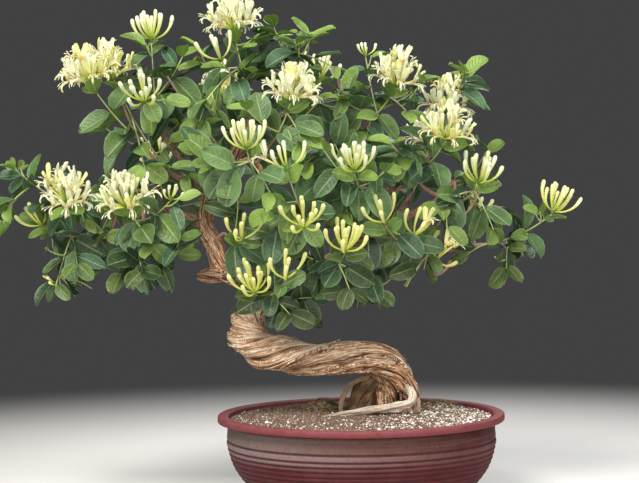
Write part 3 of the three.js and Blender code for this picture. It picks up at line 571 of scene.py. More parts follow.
def scatter_tree():
    tree, entry, leave = new_tree("Scatter grains", {
        "Where": "String", "Grain": "Object", "Density": "Float", "Smallest": "Float",
        "Largest": "Float", "Sink": "Float", "Lean": "Float", "Seed": "Int", "Finish": "Material"})
    here = place(tree, "GeometryNodeInputNamedAttribute", {"Name": entry["Where"]})
    scattered = place(tree, "GeometryNodeDistributePointsOnFaces", {
        "Mesh": entry["Geometry"], "Density": sums(tree, "MULTIPLY", here, entry["Density"]),
        "Seed": entry["Seed"]})
    grain = place(tree, "GeometryNodeObjectInfo", {0: entry["Grain"]}, 4)
    lean = place(tree, "ShaderNodeVectorMath",
                 {0: chance(tree, (-1, -1, -1), (1, 1, 1), entry["Seed"], "FLOAT_VECTOR", 0),
                  3: entry["Lean"]}, operation="SCALE")
    turn = place(tree, "ShaderNodeVectorMath",
                 {0: lean, 1: place(tree, "ShaderNodeCombineXYZ",
                                    {2: chance(tree, 0.0, 6.28, entry["Seed"])})},
                 operation="ADD")
    size = chance(tree, 0.0, 1.0, sums(tree, "ADD", entry["Seed"], 3.0))
    mostly_small = sums(tree, "POWER", size, 2.2)
    size = sums(tree, "MULTIPLY_ADD", mostly_small,
                sums(tree, "SUBTRACT", entry["Largest"], entry["Smallest"]), entry["Smallest"])
    sunk = place(tree, "GeometryNodeSetPosition", {
        "Geometry": scattered, "Offset": place(tree, "ShaderNodeCombineXYZ", {
            2: sums(tree, "MULTIPLY", size, sums(tree, "MULTIPLY", entry["Sink"], -1.0))})})
    stood = place(tree, "GeometryNodeInstanceOnPoints",
                  {"Points": sunk, "Instance": grain, "Rotation": turn, "Scale": size})
    toned = place(tree, "GeometryNodeStoreNamedAttribute", {
        "Geometry": stood, "Name": "tint",
        "Value": chance(tree, 0.0, 1.0, sums(tree, "ADD", entry["Seed"], 7.0))},
        domain="INSTANCE", data_type="FLOAT")
    real = place(tree, "GeometryNodeRealizeInstances", {0: toned})
    leave(place(tree, "GeometryNodeSetMaterial", {"Geometry": real, "Material": entry["Finish"]}))
    return tree


def worked(name, source, tree, **inputs):
    """A copy of a piece, put through a tree with its inputs set, as a plain mesh."""
    thing = linked(name, source.data.copy())
    step = thing.modifiers.new("Work", "NODES")
    step.node_group = tree
    for item in tree.interface.items_tree:
        key = item.name.replace(" ", "_").lower()
        if item.in_out == "INPUT" and key in inputs:
            step[item.identifier] = inputs[key]
    return plain(thing)


# %% Soil and grit finishes
def earth_finish():
    earth = Finish("Damp soil", (100, 76, 60), gloss=0.95, shine=0.2)
    earth.wash((earth.grain(90.0), 0.4, 0.65), (118, 92, 74))
    # Painted shade: the earth is painted dark where little grit lies, most of all in the shaded
    # patches under the trunk.
    earth.wash((earth.value("grit_outside_painted_shade"), 0.3, 0.97, 0.95, 0.0), (44, 31, 21))
    earth.wash((earth.grain(600.0, 2.0), 0.55, 0.7, 0.0, 0.8), (160, 142, 122))
    earth.shade((earth.grain(300.0, 2.0), 0.3, 0.45, 1.0, 0.0), 0.45)
    earth.relief(earth.grain(500.0, 3.0), 0.001)
    return earth.done()


def grit_finish(name, stops):
    """Grains of several stones: the tint of each grain picks its colour from the stops."""
    grit = Finish(name, stops[0][1], gloss=0.85, shine=0.3)
    tint = grit.value("tint")
    for start, tone in stops[1:]:
        grit.wash((tint, start - 0.02, start + 0.02), tone)
    grit.shade((grit.grain(900.0, 2.0), 0.35, 0.6, 0.8, 0.0), 0.7)
    # Painted shade on grains that lie in the patches under the trunk.
    grit.shade(grit.value("painted_shade_patch"), 0.5)
    grit.relief(grit.grain(1200.0, 2.0), 0.0003)
    return grit.done()


FINE_GRIT = [(0, (84, 62, 48)), (0.2, (114, 92, 78)), (0.45, (136, 114, 100)),
             (0.62, (98, 78, 62)), (0.78, (152, 133, 118)), (0.92, (190, 176, 162)),
             (0.985, (236, 228, 216))]
PALE_STONES = [(0, (196, 178, 160)), (0.2, (236, 226, 214)), (0.5, (216, 204, 194)),
               (0.7, (252, 250, 244))]
MOSSES = [(0, (84, 66, 42)), (0.35, (124, 104, 66)), (0.6, (92, 86, 44)), (0.82, (160, 138, 98))]

# %% Where the grit lies
scatter = scatter_tree()
bed_top = bed.data
xs, ys = (np.array([vertex.co[axis] for vertex in bed_top.vertices]) / MM for axis in (0, 1))
is_top = np.array([d.value for d in bed_top.attributes["on_top"].data])


def scatter_where(name, weights):
    bed_top.attributes.new(name, "FLOAT", "POINT").data.foreach_set("value", weights * is_top)


def patch(x, y, radius):
    """One in the middle of a round patch of the bed, and nothing outside it."""
    return 1 - eased(np.hypot(xs - x, ys - y), 0.45 * radius, radius)


# Painted shade: in these patches under the lying trunk the earth is painted dark, fewer grains lie,
# and those that do are darkened.
painted_shade_patch = np.maximum(patch(-16, 6, 38), patch(34, 6, 44))
right_side, front = eased(xs, -10, 120), eased(-ys, 30, 140)
scatter_where("grit_outside_painted_shade", 1 - 0.75 * painted_shade_patch)
scatter_where("painted_shade_patch", painted_shade_patch)
scatter_where("pale", (0.05 + 0.85 * right_side + 0.45 * front) * (1 - painted_shade_patch))
scatter_where("stony", right_side * (0.4 + 0.6 * eased(-ys, -60, 60)) * (1 - painted_shade_patch) + 0.1 * front)
scatter_where("mossy", np.maximum.reduce([patch(110, 78, 34), patch(-48, 4, 32), patch(4, 26, 26),
                                          patch(70, 18, 26), patch(-120, 40, 14)]))

# %% Scatter the grit
round_grain = broken_grain("grain_round", 3, (1.0, 0.85, 0.7))
sharp_grain = broken_grain("grain_sharp", 8, (1.0, 0.8, 0.75), heights=(0.1,), corners=4)
moss_tuft = tuft("moss_tuft")
stone_finish = grit_finish("Pale stones", PALE_STONES)
GRAINS = {
    "fine_grit": dict(where="grit_outside_painted_shade", grain=sharp_grain, density=150000.0, smallest=0.0008,
                      largest=0.002, sink=0.1, lean=3.0, seed=4,
                      finish=grit_finish("Fine grit", FINE_GRIT)),
    "pale_grains": dict(where="pale", grain=sharp_grain, density=34000.0, smallest=0.0011,
                        largest=0.0023, sink=0.0, lean=3.0, seed=15, finish=stone_finish),
    "pale_stones": dict(where="stony", grain=round_grain, density=9000.0, smallest=0.0017,
                        largest=0.0036, sink=0.15, lean=3.0, seed=9, finish=stone_finish),
    "moss": dict(where="mossy", grain=moss_tuft, density=80000.0, smallest=0.002,
                 largest=0.0055, sink=0.1, lean=0.3, seed=21,
                 finish=grit_finish("Moss", MOSSES))}
scattered = [worked(name, bed, scatter, **inputs) for name, inputs in GRAINS.items()]
finished(bed, earth_finish(), "soil", "soil")
for piece in scattered:
    finished(piece, None, "soil", "soil")

# %% [markdown]
# ## The trunk
#
# The trunk is the show piece. An old honeysuckle stem is a rope of stringy ribbons that wind
# round each other with deep dark furrows between them, and its bark comes off in strips. It
# could be sculpted, but the furrows follow the line of the trunk and its twist, so the skin is
# swept in fine steps along the line, and each point is moved in or out by three layers: broad
# lobes, ribbons with sharp furrows, and fibres. How deep a point lies is stored on it as
# `groove`, for the finish to darken as painted shade in the furrows.

# %% Lines of the wood: x, y, z and radius
TRUNK = [[44, 6, 92, 25], [46, 4, 118, 25], [47, 0, 142, 23.5], [38, -4, 162, 21],
         [13, -8, 175, 19.5], [-51, -14, 178, 18.5], [-110, -16, 186, 20.5], [-143, -5, 204, 20],
         [-143, 22, 223, 17], [-120, 33, 238, 15.5], [-101, 24, 256, 14], [-116, 8, 272, 12.5],
         [-150, 0, 280, 11.5], [-171, 0, 293, 11.5], [-181, 5, 321, 11], [-194, 10, 348, 10],
         [-186, 12, 385, 8.5], [-160, 8, 425, 7], [-140, 4, 465, 5.5], [-130, 2, 500, 4]]
ROOTS = {
    "front": [[54, -10, 141, 4.6], [60, -32, 139, 5.2], [63, -41, 130, 5.4], [56, -43, 122, 5.2],
              [32, -45, 118.5, 4.6], [-6, -49, 114.5, 3.8], [-50, -53, 108, 2.4]],
    "right": [[40, -2, 164, 9], [58, -5, 145, 10], [65, -8, 122, 9], [70, -10, 100, 7]],
    "left": [[26, 6, 160, 9], [13, 12, 147, 12], [2, 16, 126, 15], [-3, 17, 100, 16]],
    "arch": [[14, 8, 151, 3], [-4, 4, 148, 3], [-18, 0, 137, 3], [-25, -2, 120, 3],
             [-26, -3, 104, 3]]}
STUB = [[-165, 2, 286, 10], [-188, 0, 283, 9], [-204, -2, 282, 4]]
LIMBS = {
    "right": [[-101, 24, 256, 11], [-62, 40, 284, 9], [-12, 44, 314, 7], [45, 34, 345, 5.5],
              [95, 20, 372, 4], [122, 14, 398, 3]],
    "rightLow": [[-12, 44, 314, 6], [28, 12, 306, 4.5], [70, -10, 308, 3.8], [112, -14, 312, 3.2],
                 [146, -8, 316, 2.6]],
    "rightTop": [[45, 34, 345, 5], [44, 30, 390, 4], [30, 18, 430, 3.4], [12, 8, 462, 2.6]],
    "left": [[-194, 10, 348, 7], [-235, 0, 362, 5], [-280, -8, 366, 4], [-322, -14, 362, 2.8]],
    "leftTop": [[-188, 12, 380, 6], [-220, 6, 425, 4.2], [-246, 2, 462, 2.8]],
    "frontTop": [[-170, 9, 410, 5.5], [-142, -32, 425, 4], [-122, -66, 418, 3],
                 [-118, -80, 408, 2.6]],
    "frontLow": [[-62, 40, 284, 7], [-58, 4, 296, 5], [-56, -36, 306, 4], [-52, -62, 318, 2.8]],
    "top": [[-142, 4, 460, 5], [-106, 8, 478, 3.6], [-78, 10, 496, 2.6]],
    "back": [[-160, 8, 425, 6], [-150, 55, 438, 4.4], [-134, 102, 452, 2.8]],
    "backRight": [[45, 34, 345, 5.5], [58, 74, 362, 4], [70, 104, 378, 2.8]],
    "backLeft": [[-235, 0, 362, 5], [-246, 50, 380, 3.8], [-258, 86, 392, 2.8]]}

# %% Bark skin
LOBES, LOBE_DEPTH = 3, 0.15
BARK_NOISES = [(1, 1, 0), (2.6, 1.7, 11), (9.0, 3.4, 23), (19.0, 5.0, 41), (0.9, 2.4, 57)]


class Bark:
    """Collects swept skins of wood with the values that the bark finish reads."""

    def __init__(self):
        self.points, self.faces, self.count = [], [], 0
        self.values = {"groove": [], "rust": [], "pale": [], "fibre": []}

    def add(self, rings, fibre, **values):
        """A skin. Each value is one number, or one for each point."""
        points, faces = loft(rings)
        self.points.append(points)
        self.faces += [[k + self.count for k in face] for face in faces]
        self.count += len(points)
        self.values["fibre"].append(np.reshape(fibre, (-1, 3)))
        for name in ("groove", "rust", "pale"):
            self.values[name].append(np.ravel(values.get(name, 0.0)) + np.zeros(len(points)))

    def made(self, name):
        return mesh_object(name, np.vstack(self.points), self.faces, values={
            key: ("v" if key == "fibre" else "f", np.concatenate(rows))
            for key, rows in self.values.items()})


def noise_at(points):
    return np.array([noise.noise(Vector(p)) for p in points])


def swept_bark(bark, rows, steps, sides, strands, depth, twist, rust, seed, lobes=0.0, painted_furrow_shade=1.0,
               knots=0.0, pale=0.0, painted_shade_patch=None, under=0.0):
    """A skin along rows. twist(share) is how far the strands have wound, in turns."""
    shares = np.linspace(0, 1, steps)
    line = smooth_line(rows, shares)
    centre, radius = line[:, :3], np.maximum(line[:, 3], 0.5)
    ahead, normal, across = frames_on(centre)
    travelled = np.concatenate([[0], np.cumsum(np.linalg.norm(np.diff(centre, axis=0), axis=1))])
    angle = np.linspace(0, 2 * math.pi, sides, endpoint=False)[None, :]
    wound = angle - 2 * math.pi * twist(shares)[:, None]
    grid = np.stack(np.broadcast_arrays(np.cos(wound) * 1.6, np.sin(wound) * 1.6,
                                        travelled[:, None] / 55 + seed), axis=-1).reshape(-1, 3)
    wander, stringy, fibres, hairs, lumps = (
        noise_at(grid * [wide, wide, tall] + shift).reshape(steps, sides)
        for wide, tall, shift in BARK_NOISES)
    ribbons = np.abs(np.sin((strands * wound + 3.2 * wander) / 2))**0.55
    smaller = np.abs(np.sin((2 * strands + 3) * wound / 2 + 3.0 * stringy))**0.6
    shape = (depth * (ribbons - 0.75) * (1 + 0.9 * wander) + 0.38 * depth * (smaller - 0.7)
             + 0.22 * depth * fibres + 0.14 * depth * hairs)
    broad = lobes * np.cos(LOBES * wound)
    reach = radius[:, None] * (1 + broad + shape + knots * lumps)
    groove = np.clip(1.15 - ribbons * 0.72 - 0.45 * smaller - 0.5 * fibres - 0.35 * hairs, 0, 1)
    ways = (np.cos(angle)[..., None] * normal[:, None] + np.sin(angle)[..., None] * across[:, None])
    # A hollow is pressed into the skin here, and its inside is painted dark as shade through the
    # groove value.
    if painted_shade_patch:
        away = np.linalg.norm(centre[:, None] + reach[..., None] * ways - painted_shade_patch[:3], axis=2)
        deep = 1 - eased(away, 0.5 * painted_shade_patch[3], 1.3 * painted_shade_patch[3])
        reach, groove = reach - painted_shade_patch[3] * deep, np.maximum(groove, deep)
    rings = list(centre[:, None] + reach[..., None] * ways)
    rings = [centre[:1] - ahead[:1] * 0.5, *rings, centre[-1:] + ahead[-1:] * 0.5]
    fibre = np.stack(np.broadcast_arrays(
        np.cos(wound), np.sin(wound), travelled[:, None] / 30 + seed), axis=-1)
    capped = lambda grid_values: np.concatenate([[grid_values[0, 0]], grid_values.ravel(),
                                                 [grid_values[-1, 0]]])
    ends = np.vstack([fibre[0, :1], fibre.reshape(-1, 3), fibre[-1, :1]])
    rusty = rust(shares)[:, None] + under * eased(-ways[..., 2], -0.3, 0.7) * (0.7 + wander)
    # How dark the furrows are painted, as shade, is scaled here for each skin.
    bark.add(rings, ends, groove=painted_furrow_shade * capped(groove), rust=capped(rusty), pale=pale)
    return centre, ahead, normal, across, reach


# %% [markdown]
# The strands run nearly along the lying part of the trunk, and wind steeply round its elbow. The
# bark is pale and stringy up to the elbow, and rusty and flaking above it.

# %% Trunk, stub and great roots
TRUNK_STEPS, TRUNK_SIDES = 420, 160


def trunk_twist(share):
    return -1.333 * share - 0.75 * eased(share, 0.22, 0.46)


def trunk_rust(share):
    return eased(share, 0.46, 0.56) + (1 - eased(share, 0.12, 0.34))


wood = Bark()
trunk_skin = swept_bark(wood, TRUNK, TRUNK_STEPS, TRUNK_SIDES, strands=7, depth=0.2,
                        twist=trunk_twist, rust=trunk_rust, seed=1.0, lobes=LOBE_DEPTH,
                        painted_shade_patch=(50, -22, 126, 10), under=1.0)
swept_bark(wood, STUB, 50, 60, 5, 0.3, lambda s: 0.2 * s, lambda s: 1 + 0 * s, 5.0)
ROOT_TONES = {"front": (0.0, 1.0), "right": (0.3, 0.0), "left": (0.5, -1.0), "arch": (0.2, -0.5),
              "inner": (0.9, -0.5)}
INNER_ROOT = [[32, 14, 156, 7], [25, 20, 140, 9], [22, 24, 120, 10], [22, 26, 101, 10]]
THICK_ROOT = dict(steps=80, sides=60, strands=9, depth=0.24, painted_furrow_shade=1.0, knots=0.45)
THIN_ROOT = dict(steps=100, sides=24, strands=4, depth=0.2, painted_furrow_shade=0.25, knots=0.75)
for k, (name, rows) in enumerate({**ROOTS, "inner": INNER_ROOT}.items()):
    look = THICK_ROOT if max(row[3] for row in rows) > 6 else THIN_ROOT
    rust, pale = ROOT_TONES[name]
    swept_bark(wood, rows, twist=lambda s: 0.25 * s, rust=lambda s: 0 * s + rust,
               seed=7.0 + k, pale=pale, **look)

# %% [markdown]
# Strips of bark have come loose and stand off the trunk at their ends. Each is a thin flat
# ribbon that runs with the strands for a few centimetres.

# %% Loose strips
STRIPS, STRIP_STEPS = 132, 15


def loose_strip(bark, draw, skin, low, high):
    centre, ahead, normal, across, reach = skin
    start = low + (high - low) * draw()**1.6
    span = 0.03 + 0.07 * draw()
    steps = np.linspace(start, min(start + span, high + 0.04), STRIP_STEPS)
    rows = np.clip((steps * (TRUNK_STEPS - 1)).astype(int), 0, TRUNK_STEPS - 1)
    base_angle = 2 * math.pi * draw() - 2 * math.pi * trunk_twist(steps[0])
    lift_end = (0.8 + 4.4 * draw()**2) * (1 if draw() < 0.5 else -1)
    width = 0.8 + 1.8 * draw()
    rings, where = [], []
    for k, i in enumerate(rows):
        share = k / (STRIP_STEPS - 1)
        angle = base_angle + 2 * math.pi * trunk_twist(steps[k]) + 0.12 * math.sin(3 * share)
        out = math.cos(angle) * normal[i] + math.sin(angle) * across[i]
        side = np.cross(ahead[i], out)
        free = max(0.0, share - 0.5 if lift_end > 0 else 0.5 - share) * 2
        column = int(round(angle / (2 * math.pi) * TRUNK_SIDES)) % TRUNK_SIDES
        height = reach[i, column] + 0.25 + abs(lift_end) * free**2
        half = width * (0.25 + 0.75 * math.sin(math.pi * min(share * 0.96 + 0.02, 1)))
        spot = centre[i] + out * height
        rings.append(np.array([spot - side * half, spot + out * 0.55,
                               spot + side * half, spot - out * 0.35]))
        where.append([[math.cos(angle) * 0.9, math.sin(angle) * 0.9, 2 * share + start * 20]] * 4)
    tone = [[0.12 + 0.3 * (k % 2)] * 4 for k in range(STRIP_STEPS)]
    bark.add(rings, where, groove=tone, rust=trunk_rust(steps[0]))


strip_draw = draws_from(901)
for _ in range(STRIPS):
    loose_strip(wood, strip_draw, trunk_skin, 0.02, 0.72)
trunk_bark = wood.made("trunk_bark")

# %% Bark finish
def bark_finish():
    bark = Finish("Stringy bark", (222, 178, 132), gloss=0.85, shine=0.25)
    fibre = bark.value("fibre", 1)
    broad, strings, fine = (
        bark.grain(scale, detail, rough, bark.stretched((1.0, 1.0, squeeze), fibre))
        for scale, detail, rough, squeeze in (
            (3.2, 3.0, 0.6, 0.25), (9.0, 5.0, 0.72, 0.14), (24.0, 3.0, 0.65, 0.1)))
    groove, rust, pale = bark.value("groove"), bark.value("rust"), bark.value("pale")
    bark.wash((broad, 0.45, 0.6, 0.0, 0.8), (196, 130, 76))
    bark.wash((strings, 0.48, 0.6), (252, 240, 216))
    bark.wash((strings, 0.36, 0.46, 0.9, 0.0), (134, 80, 42))
    bark.wash(rust, bark.mixed((strings, 0.42, 0.6), (100, 58, 30), (204, 150, 102)))
    bark.wash((fine, 0.52, 0.62, 0.0, 0.85), (252, 240, 218))
    # Painted shade: points deep in a furrow are washed darker, darkest at its bottom.
    bark.wash(bark.times((groove, 0.22, 0.55), 0.65), (122, 74, 42))
    bark.wash((groove, 0.52, 0.85), (46, 28, 18))
    bark.shade((fine, 0.34, 0.44, 0.7, 0.0), 0.5)
    bark.wash(bark.times((pale, 0.0, 1.0), 0.85),
              bark.mixed((strings, 0.42, 0.58), (180, 148, 114), (255, 248, 232)))
    bark.wash(bark.times((pale, 0.0, -1.0), (bark.grain(40.0, 4.0), 0.35, 0.6, 0.5, 0.95)),
              (96, 70, 36))
    bark.relief(strings, 0.002)
    bark.relief(fine, 0.0008)
    return bark.done()


bark_material = bark_finish()
finished(trunk_bark, bark_material, "bark", "trunk")

# %% [markdown]
# ## The plan of the crown
#
# Twenty-five sprays, each from a twig on a limb. The first tip ends a spray's main shoot and the
# others end its side shoots. Each tip is a head of flowers, closed, opened, with few flowers or
# tiny, or a tuft of leaves.

# %% Sprays
SPRAYS = [
    ["leftTop", 1, [-252, 2, 480],
     "bud -258 10 577 bud -260 -62 495 leaf -216 -8 560 leaf -204 24 520"],
    ["leftTop", 0.35, [-232, -16, 412], "open -304 -4 529 open -327 -42 520 leaf -312 -26 468 "
     "leaf -236 34 470 leaf -262 -56 418"],
    ["left", 1, [-338, -18, 368], "leaf -428 -20 420 open -356 -56 373 leaf -432 -44 372"],
    ["left", 0.6, [-268, -42, 352], "open -279 -92 366 tiny -226 -108 376 leaf -250 -108 322"],
    ["left", 0.85, [-318, -12, 336], "few -395 -10 346 tiny -376 -26 276 leaf -345 -62 300"],
    ["left", 0.35, [-250, -22, 330], "leaf -296 -40 286 leaf -262 -92 292 leaf -222 -70 312"],
    ["trunk", 1, [-133, 2, 507],
     "open -153 0 587 few -166 -38 547 leaf -198 8 552 leaf -186 -42 500"],
    ["top", 1, [-66, 10, 508], "leaf -104 12 598 leaf -72 0 570 leaf -28 -12 540"],
    ["frontTop", 0.6, [-104, -58, 448], "open -82 -80 492 leaf -50 -56 494 leaf -136 -88 486 "
     "leaf -66 -92 440"],
    ["frontTop", 1, [-122, -90, 400], "bud -133 -122 432 leaf -176 -112 416 leaf -106 -128 382 "
     "leaf -196 -72 436"],
    ["frontLow", 1, [-60, -82, 342], "few -86 -130 408 bud -67 -142 341 leaf -110 -126 362 "
     "leaf -108 -84 330"],
    ["rightTop", 0.3, [2, -50, 388],
     "bud -6 -112 405 leaf 32 -92 410 leaf -44 -104 436 leaf -36 -30 464"],
    ["rightTop", 1, [14, 2, 474],
     "open 47 -20 513 tiny 12 10 556 leaf -20 -34 500 leaf 62 -28 482"],
    ["right", 0.85, [78, 0, 408],
     "open 112 6 480 open 106 -48 445 leaf 134 -6 530 leaf 50 -46 424"],
    ["right", 1, [128, 0, 372], "bud 147 -40 391 leaf 164 -52 336 leaf 98 -62 366 leaf 150 16 346"],
    ["rightLow", 1, [156, -6, 318], "bud 243 0 354 leaf 182 -30 288 leaf 204 16 345"],
    ["rightLow", 0.5, [54, -34, 322], "few 30 -88 344 few 64 -66 328 few 92 -48 298"],
    ["frontLow", 0.7, [-34, -66, 298], "bud -20 -132 311 leaf 22 -78 262 leaf -14 -108 266"],
    ["trunk", 0.5, [-104, -28, 272], "bud -126 -108 263 leaf -50 -104 262 few -90 -128 279 "
     "leaf -86 -120 240"],
    ["trunk", 0.74, [-164, -34, 334], "few -142 -100 326 leaf -146 -88 376 leaf -116 -78 304"],
    ["backLeft", 1, [-264, 98, 398], "bud -270 146 424 leaf -328 98 398 leaf -250 146 366"],
    ["back", 1, [-134, 114, 462],
     "open -176 164 516 bud -118 186 430 leaf -88 146 500 leaf -196 140 432"],
    ["top", 0.6, [-76, 54, 500], "bud -50 112 532 leaf 2 104 500 leaf -98 92 548"],
    ["backRight", 1, [73, 107, 383],
     "open 100 150 448 leaf 16 160 396 leaf 134 124 392 leaf 40 150 340"],
    ["right", 0.92, [132, 46, 398], "bud 150 112 356 leaf 166 34 438 leaf 172 72 352"]]

# %% [markdown]
# A shoot sags in its middle and turns up at its tip, or arches over where it hangs. Leaves stand
# in opposite pairs, each pair a quarter turn from the last, and turn their faces to the light.

# %% Shoots and their leaves
TWIG_BEND, END_GAP = 0.4, 0.35
SHOOT_SAG, HANGING_DROP, HANGING_ARCH = 0.16, 10, 0.13
FIRST_FORK, FORK_SPAN = 0.3, 0.35
LEAF_LENGTH, YOUNG_LEAVES, LEAF_SPACING = 52, [0.62, 0.86], 26
BARE_FOOT, SIDE_BARE_FOOT, HEAD_STALK, TUFT_STALK = 16, 9, 11, 3
CROWN_CENTRE = np.array([-90.0, 60.0, 340.0])
SHADE, SKYLIGHT = np.array([0.35, 1.5, 0.6]), 0.35
LEAF_TURNS = [0, 18, -18, 36, -36, 54, -54]
LEAF_TRIES = [(size, turn) for size in (1, 0.84, 0.7, 0.58) for turn in LEAF_TURNS]
LEAF_TIP_DEPTH = 0.9


class Shoot:
    def __init__(self, start, kind, end, side, draw):
        hanging = end[2] < start[2] - HANGING_DROP
        lift = (HANGING_ARCH if hanging else -SHOOT_SAG) * np.linalg.norm(end - start)
        self.line = Bend(start, (start + end) / 2 + UP * lift, end)
        self.kind, self.side, self.length = kind, side, self.line.length()
        self.pairs = self.leaf_pairs(draw)

    def leaf_pairs(self, draw):
        bare = SIDE_BARE_FOOT if self.side else BARE_FOOT
        below = TUFT_STALK if self.kind in ("leaf", "tiny") else HEAD_STALK
        pairs, i = [], 0
        while i == 0 or self.length - below - i * LEAF_SPACING > bare:
            share = 1 - (below + i * LEAF_SPACING) / self.length
            quarter = 90 * i + 30 * (draw() - 0.5)
            young = YOUNG_LEAVES[i] if i < len(YOUNG_LEAVES) else 1
            leaves = [self.leaf(share, quarter + half, LEAF_LENGTH * young * (0.84 + 0.3 * draw()),
                                (0 if i == 0 else 0.35) + 0.35 * draw(),
                                (0.8 if i == 0 else 0.45) + 0.3 * draw(), 0.04 + 0.14 * draw(),
                                [1.0, 0.45, 0.0][min(i, 2)])
                      for half in (0, 180)]
            pairs.append((share, leaves))
            i += 1
        return pairs

    def leaf(self, share, around, length, droop, lean, bend, young):
        stem = self.line.heading(share)
        return {"base": self.line.at(share), "stem": stem, "level": unit(np.cross(UP, stem)),
                "around": around, "length": length, "droop": droop, "lean": lean, "bend": bend,
                "young": young}


def grown_leaf(leaf, size, turn):
    outward = turned(leaf["level"], leaf["stem"], leaf["around"] + turn)
    forward = unit(outward + leaf["stem"] * leaf["lean"] - UP * leaf["droop"])
    light = unit((leaf["base"] - CROWN_CENTRE) * SHADE) + UP * SKYLIGHT
    face = unit(light - forward * light.dot(forward))
    return {**leaf, "forward": forward, "face": face, "length": leaf["length"] * size}


def leaf_tip(leaf):
    return (leaf["base"] + leaf["forward"] * leaf["length"]
            - leaf["face"] * (leaf["bend"] * leaf["length"] + LEAF_TIP_DEPTH))


def planned_spray(number, limb, at, base, tips):
    words = tips.split()
    tips = [(words[k], np.array([float(w) for w in words[k + 1:k + 4]]))
            for k in range(0, len(words), 4)]
    base = np.array(base, float)
    main = Shoot(base, *tips[0], False, draws_from(5000 + 100 * number))
    shoots = [main]
    for i, (kind, end) in enumerate(tips[1:]):
        wanted = FIRST_FORK + FORK_SPAN * i / max(len(tips) - 2, 1)
        fork = min(main.pairs, key=lambda pair: abs(pair[0] - wanted))
        shoots.append(Shoot(main.line.at(fork[0]), kind, end, True,
                            draws_from(5000 + 100 * number + i + 1)))
    carrier = TRUNK if limb == "trunk" else LIMBS[limb]
    start = smooth_line(np.array(carrier)[:, :3], at)[0]
    heading = main.line.heading(0)
    bend = base - heading * TWIG_BEND * np.linalg.norm(base - start)
    return shoots, Bend(start, bend, base + heading * 0.6)


sprays = [planned_spray(number, *row) for number, row in enumerate(SPRAYS)]
print("shoots:", sum(len(shoots) for shoots, _ in sprays))

# %% [markdown]
# Where two leaves of the solids would have met, one was turned or made smaller. The same tries
# are gone through here, and the one whose tip is a corner of the solid is the leaf that stands.

# %% Leaves that stand
FOUND = 0.45


def corners_of(node):
    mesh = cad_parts[node].data
    tree = kdtree.KDTree(len(mesh.vertices))
    for vertex in mesh.vertices:
        tree.insert(vertex.co / MM, vertex.index)
    tree.balance()
    return tree


def standing_leaves(number, shoots):
    corners = corners_of(f"leafy_spray_{number + 1}")
    for shoot in shoots:
        for _, leaves in shoot.pairs:
            for leaf in leaves:
                tries = [grown_leaf(leaf, *tried) for tried in LEAF_TRIES]
                fits = [(corners.find(leaf_tip(t))[2], k) for k, t in enumerate(tries)]
                distance, k = min(fits)
                if distance < FOUND:
                    yield tries[k]


leaves_of = [list(standing_leaves(number, shoots)) for number, (shoots, _) in enumerate(sprays)]
print("leaves found:", sum(len(leaves) for leaves in leaves_of))

# %% [markdown]
# ## Stems and blades
#
# Leaves, petals and stems are all one of two things: a tube along a line, or a thin blade that
# stands on a point with a heading and a face. So one tree of Geometry Nodes grows them all. It
# is given a mesh of lines and loose points with their values stored on them. Lines become curves
# and then tubes with the stored girth. On each loose point stands a copy of a blade, turned so
# that it heads and faces as stored, and once the copies are real, each is bent and waved by its
# own values. The blades have a few dozen faces, because there are many hundreds of them.

# %% Growth: lines and points with their values
FIELDS = {"girth": "f", "blade": "f", "heading": "v", "face": "v", "size": "f", "width": "f",
          "bend": "f", "phase": "f", "shade": "f", "tint": "f", "olive_painted_backlight": "f",
          "age_and_painted_shade": "f"}
NOTHING = {"v": (0.0, 0.0, 0.0), "f": 0.0}


class Growth:
    """Lines that become tubes, and points that each carry a blade."""

    def __init__(self):
        self.points, self.edges = [], []
        self.values = {name: [] for name in FIELDS}

    def keep(self, point, values):
        self.points.append(point)
        for name, kind in FIELDS.items():
            self.values[name].append(values.get(name, NOTHING[kind]))

    def line(self, points, girth, **values):
        """A tube. Each value is one number, or one for each point."""
        first = len(self.points)
        for k, point in enumerate(points):
            own = {name: value[k] if np.ndim(value) else value for name, value in values.items()}
            self.keep(point, {**own, "girth": girth[k], "blade": -1.0})
        self.edges += [[first + k, first + k + 1] for k in range(len(points) - 1)]

    def stand(self, point, heading, face, size, form=0, width=1.0, **values):
        self.keep(point, {**values, "blade": float(form), "heading": tuple(heading),
                          "face": tuple(face), "size": size, "width": width})

    def made(self, name):
        values = {key: (kind, self.values[key]) for key, kind in FIELDS.items()}
        for key in ("girth", "size"):
            values[key] = ("f", np.array(self.values[key]) * MM)
        return mesh_object(name, self.points, edges=self.edges, values=values)


